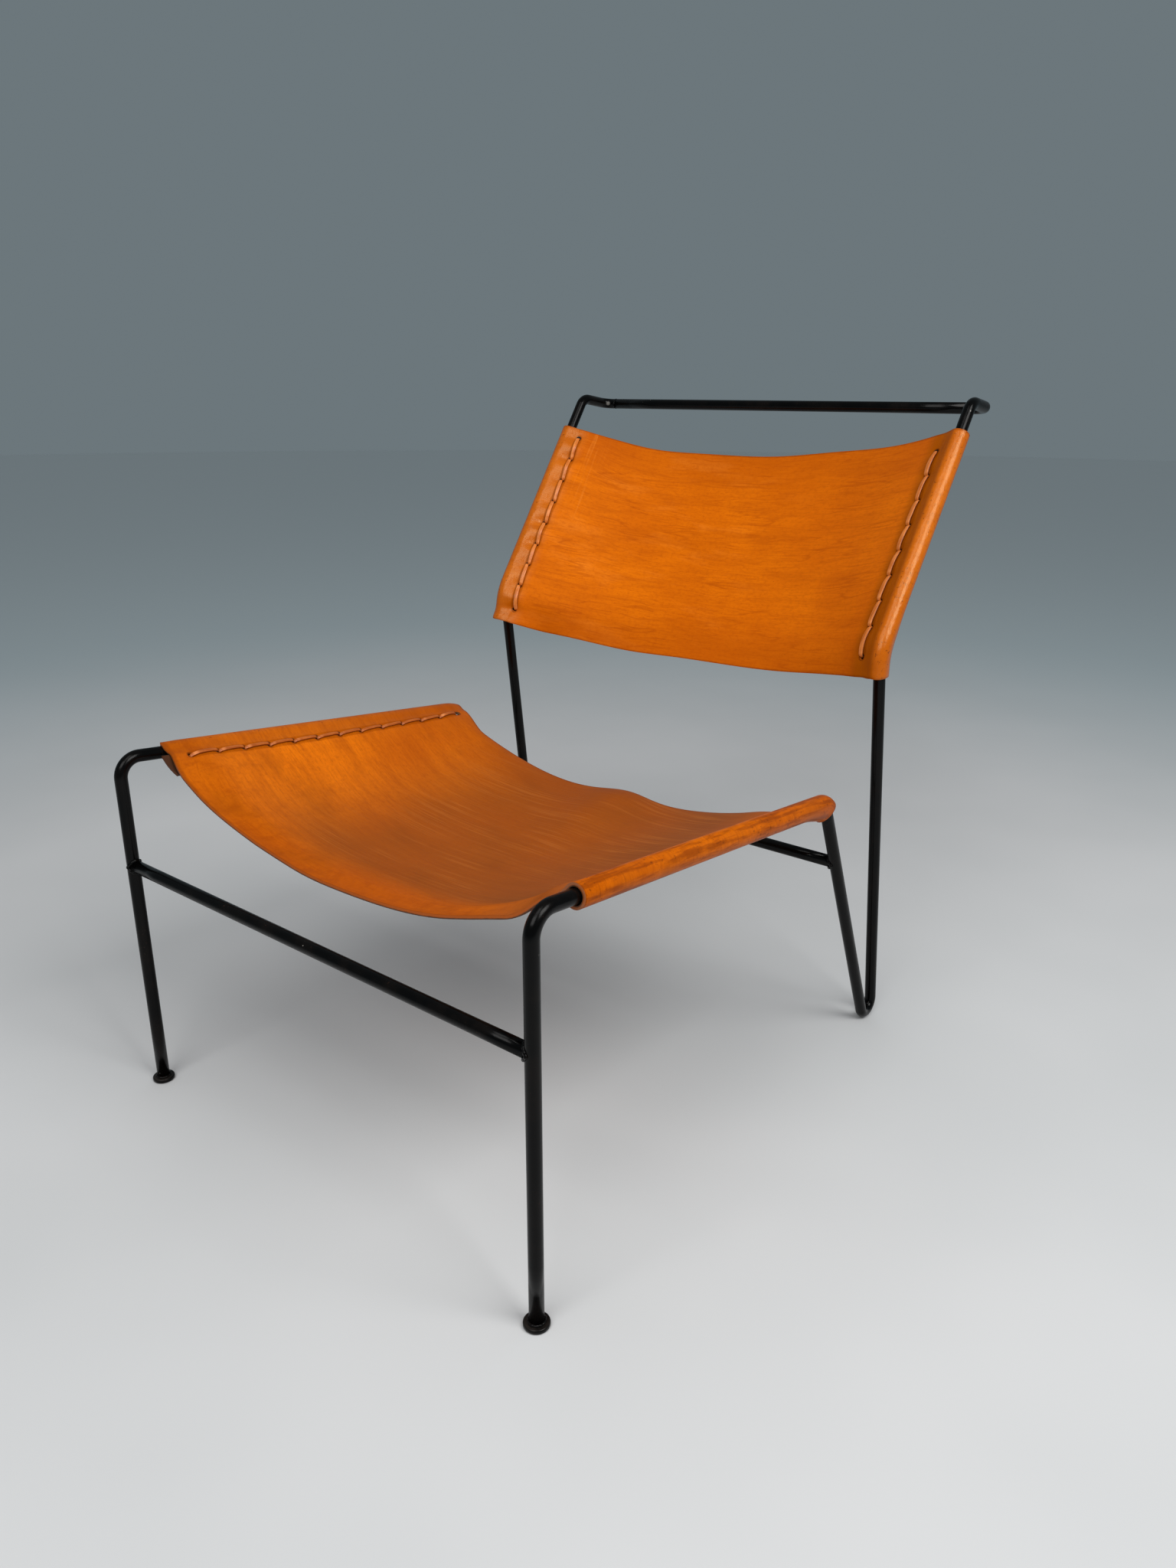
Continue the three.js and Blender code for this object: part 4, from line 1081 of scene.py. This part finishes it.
def back_shape(sling, f):
    """Small shapes of the back: puckers over the left sleeve, grooves beside the rods, slack at the knees."""
    s, x, u, q = f.s, f.x, f.u, f.q
    wrap, behind = f.kind == WRAP, np.isin(f.kind, (RETURN, FLAP))
    face = ~(wrap | behind)
    left = f.side < 0
    b, to_end = s - sling.start, sling.end - s
    wave = sling.stitch_wave(s)
    spread = np.where(left & (u < SETBACK), 14.0, 7.0)
    puckers = np.where(left, 2.0, 0.7) * (1 + 0.4 * np.sin(s / 17)) * wave * hump(u, SETBACK, spread)
    puckers = puckers * np.where(wrap, until(q, 0.3, 0.3), 1.0)
    thong_bed = 0.4 * np.abs(wave) * hump(u, SETBACK, 4.5)
    groove = np.where(left, 0.6, 1.2) * face * hump(u, 15, np.where(left, 4.0, 8.0))
    wrinkles = 0.6 * np.sin(x / 44 + b / 70) * np.sin(b / 39) + 0.4 * np.sin(b / 21 + x / 75)
    hung = smooth(3 * f.fall)
    lift = puckers - thong_bed - groove + hung * wrinkles
    flare = np.where(left, 0.55, 0.24) * (s < knee_end) * upper_sleeve(f)
    bridge = np.where(left, 4.0, 6.0) * hump(s, knee_middle, 28) * rear_sleeve(f)
    # The upper and lower edges swing a little, and the left holes are spaced out towards the top.
    upper_edge = (6.0 * hump(x, 105, 75) - 4.5 * hump(x, -150, 60)) * until(to_end, 0, 120) * hung
    lower_edge = (2.5 * hump(x, 205, 60) - 4.0 * hump(x, -85, 70)) * until(b, 0, 50) * hung
    left_corner = 5.5 * left * until(u, -9, 75) * until(b, 0, 19)
    right_hem = 0.8 * ~(behind | left) * np.where(wrap, until(q, 0.6, 0.2), until(u, 6, 9)) * until(b, 0, 14)
    spaced = np.clip((s - sling.holes[3]) / (sling.holes[-1] - sling.holes[3]), 0, 1) * past(to_end, 0, 18)
    rise = upper_edge + lower_edge + left_corner - right_hem + 9.2 * left * spaced * until(u, 34, 60)
    move = f.up * lift[:, None] + stray(s, back_line) * flare[:, None]
    return move - f.out * bridge[:, None] + f.along * rise[:, None]


seat = Sling(
    "seat_leather", seat_start, seat_end, seat_middle, seat_ripple, seat_shape,
    roundness={-1: 2.35, 1: 2.7}, skew=0, margin=SEAT_MARGIN, stitches=12,
)
back = Sling(
    "back_leather", back_start, back_end, back_middle, back_ripple, back_shape,
    roundness={-1: 2.3, 1: 2.3}, skew=10, margin=BACK_MARGIN, stitches=8,
)


# Frame pieces.
def painted(name, node, rings, closed=False):
    return settle(mesh_object(name, *skin(rings, closed), [PAINT]), "frame_paint", node)


def rod_piece(name, node, points, ways, first):
    return painted(name, node, round_rings(points, ways, [ROD_R] * len(points), first))


def bead_ring(joint, node, line, radius):
    """A rippled weld bead along a closed line."""
    draw = np.random.default_rng(BEAD_SEED[joint])
    line = np.array(line)
    ways = unit(np.roll(line, -1, axis=0) - np.roll(line, 1, axis=0))
    turn = full_turn(len(line))
    ripples = 11 + int(draw.integers(0, 4))
    lumps = 0
    for share, count in ((0.12, ripples), (0.1, 2), (0.06, 5)):
        lumps = lumps + share * np.sin(count * turn + draw.uniform(0, 6))
    first = np.cross(ways[0], unit(line[0] - line.mean(axis=0)))
    painted(joint + "_bead", node, round_rings(line, ways, radius * (1 + lumps), first, BEAD_SIDES), True)


def saddle(at, leg, side, radius, turn):
    """Point where a stretcher's surface of that radius meets a leg."""
    across = np.cross(X, leg)
    w = radius * np.sin(turn)
    x = HALF - math.sqrt(max((ROD_R + GAP) ** 2 - w**2, 0.0))
    return with_x(at, side * x) + leg * radius * np.cos(turn) + across * w


def stretcher(name, at, leg):
    ends = [np.array([saddle(at, leg, side, ROD_R, t) for t in full_turn(ROD_SIDES)]) for side in (-1, 1)]
    painted(name + "_rod", name, [lerp(*ends, k) for k in np.linspace(0, 1, STRETCHER_RINGS)])
    for side, side_name in SIDES:
        line = [saddle(at, leg, side, ROD_R + STRETCHER_BEAD_OUT, t) for t in full_turn(BEAD_STEPS)]
        joint = side_name + "_" + name
        bead_ring(joint, joint + "_weld", line, STRETCHER_BEAD_R)


def glide(side, side_name):
    """A foot disc with a rounded upper rim and a worn lower edge."""
    outline = [(GLIDE_R - inset, height) for inset, height in GLIDE_EDGE]
    for t in np.linspace(0, math.pi / 2, RIM_STEPS):
        inset, below = GLIDE_RIM * (1 - math.cos(t)), GLIDE_RIM * (1 - math.sin(t))
        outline.append((GLIDE_R - inset, GLIDE_THICKNESS - below))
    outline.append((ROD_R - 1, GLIDE_THICKNESS))
    radii, heights = zip(*outline)
    points = [np.array([side * HALF, 0, h]) for h in heights]
    rings = round_rings(points, [leaning(0)] * len(points), radii, X, GLIDE_SIDES)
    disc = mesh_object(side_name + "_foot_disc", *skin(rings), [GLIDE_PAINT])
    settle(disc, "glide", side_name + "_front_glide")


for side, side_name in SIDES:
    points, ways = zip(*[rods[side].at(d) for d in rods[side].marks()])
    rod_piece(side_name + "_side_rod", side_name + "_side_frame", points, ways, X)

bar_points = [with_x(bar_corner, x) for x in np.linspace(GAP - stub_end, stub_end - GAP, CROSSBAR_RINGS)]
rod_piece("crossbar_rod", "top_crossbar", bar_points, [X] * len(bar_points), leaning(0))

rear_reach = (rear_corner[2] - REAR_STRETCHER_HEIGHT) / -leg_down[2]
stretcher("front_stretcher", yz(0, FRONT_STRETCHER_HEIGHT), leaning(0))
stretcher("rear_stretcher", rear_corner + leg_down * rear_reach, -leg_down)

for side, side_name in SIDES:
    circle = np.array([(math.cos(t), math.sin(t), 0) for t in full_turn(BEAD_STEPS)])
    butt = with_x(bar_corner, side * stub_end) + np.roll(circle, 1, axis=1) * (ROD_R + BUTT_BEAD_OUT)
    bead_ring(side_name + "_crossbar", side_name + "_crossbar_weld", butt, BUTT_BEAD_R)
    foot = with_x(leg_end, side * HALF) + circle * (ROD_R + FOOT_BEAD_OUT)
    bead_ring(side_name + "_foot", side_name + "_glide_weld", foot, FOOT_BEAD_R)
    glide(side, side_name)

# Sheets and their thongs.
for sling, node, grain, lace, fine in (
    (seat, "seat", SEAT_GRAIN, SEAT_LACE, (rear_bend.begin, seat_end)),
    (back, "back", BACK_GRAIN, BACK_LACE, (knee_bend.begin, knee_end)),
):
    for side, side_name in SIDES:
        row = side_name + "_" + node
        name = row + "_thong"
        piece, length = lace_mesh(sling, side, name, lace, THONG_WIDTH[row], THONG_SEED[row])
        settle(piece, "lacing_leather", row + "_lacing")
        print(name, "is", round(length, 3), "m long")
    piece, flat = sheet_mesh(sling, fine, [grain, FLESH, CUT])
    settle(piece, "sling_leather", node + "_sling")
    print(sling.name, "is cut", flat)

# Floor, light and camera.
STAGE_GREY = (0.15, 0.184, 0.2)
# The far floor's grey is painted shade.
FAR_SHADED_GREY = (0.42, 0.5, 0.53)
DAYLIGHT = (1.0, 0.99, 0.97)
FLOOR_R, FLOOR_DROP, FLOOR_SIDES = 14, 0.0002, 96


def floor_material():
    """Pale grey round the chair, with painted shade making it darker and bluer away from it."""
    n = Surface("studio_floor")
    place = n.place()
    near = n.blend(n.band(n.noise(place, 1.2, 3), 0.3, 0.7), (0.56, 0.575, 0.585), (0.62, 0.63, 0.64))
    away = n.add("ShaderNodeVectorMath", {0: place}, operation="LENGTH").outputs["Value"]
    # Painted shade: the floor darkens and turns bluer away from the chair, where the light falls off.
    n.colour = n.blend(n.band(away, 0.9, 2.6), near, FAR_SHADED_GREY)
    return n.finish(Roughness=0.6, Specular_IOR_Level=0.2)


bpy.ops.mesh.primitive_circle_add(vertices=FLOOR_SIDES, radius=FLOOR_R, fill_type="NGON")
floor = bpy.context.object
floor.name = "studio_floor"
floor.location.z = -FLOOR_DROP
floor.data.materials.append(floor_material())


def area_light(name, place, aim, size, power):
    data = bpy.data.lights.new(name, "AREA")
    data.shape = "RECTANGLE"
    data.size, data.size_y = size
    data.energy = power
    data.color = DAYLIGHT
    lamp = bpy.data.objects.new(name, data)
    lamp.location = place
    lamp.rotation_euler = (Vector(aim) - Vector(place)).to_track_quat("-Z", "Y").to_euler()
    bpy.context.scene.collection.objects.link(lamp)


area_light("window", place=(1.75, -0.2, 2.0), aim=(0.0, 0.15, 0.4), size=(1.3, 1.2), power=37)
area_light("skylight", place=(0.36, -0.85, 2.35), aim=(0.0, 0.2, 0.4), size=(1.0, 0.9), power=8)
area_light("room", place=(0.5, -2.1, 2.1), aim=(0.0, 0.1, 0.4), size=(1.6, 1.2), power=25)

# The room's soft light falls on every surface, and the eye and the gloss see the plain grey round the chair.
world = bpy.data.worlds.new("studio_air")
bpy.context.scene.world = world
air = Nodes(world)
soft = air.tree.nodes["Background"]
air.set(soft.inputs["Color"], (0.76, 0.78, 0.8))
air.set(soft.inputs["Strength"], 0.46)
seen = air.add("ShaderNodeBackground", {"Color": STAGE_GREY})
path = air.add("ShaderNodeLightPath").outputs
looked_at = air.math("MAXIMUM", path["Is Camera Ray"], path["Is Glossy Ray"])
looked_at = air.math("MAXIMUM", looked_at, path["Is Transmission Ray"])
choose = air.add("ShaderNodeMixShader", {0: looked_at, 1: soft.outputs[0], 2: seen.outputs[0]})
air.set(air.tree.nodes["World Output"].inputs["Surface"], choose.outputs[0])

azimuth, pitch, roll = math.radians(38.38), math.radians(19.41), math.radians(-0.3)
eye = Vector((0.742, -0.9172, 0.7182))
turned = Matrix.Rotation(azimuth, 4, "Z") @ Matrix.Rotation(math.pi / 2 - pitch, 4, "X")
camera_data = bpy.data.cameras.new("photo_camera")
camera_data.sensor_fit = "AUTO"
camera_data.sensor_width = 36
camera_data.lens = 25.311
camera_data.shift_x = -0.00156
camera_data.shift_y = -0.00176
camera_data.clip_start = 0.05
camera = bpy.data.objects.new("photo_camera", camera_data)
camera.matrix_world = Matrix.Translation(eye) @ turned @ Matrix.Rotation(-roll, 4, "Z")
bpy.context.scene.collection.objects.link(camera)
bpy.context.scene.camera = camera
bpy.context.scene.view_settings.view_transform = "Standard"
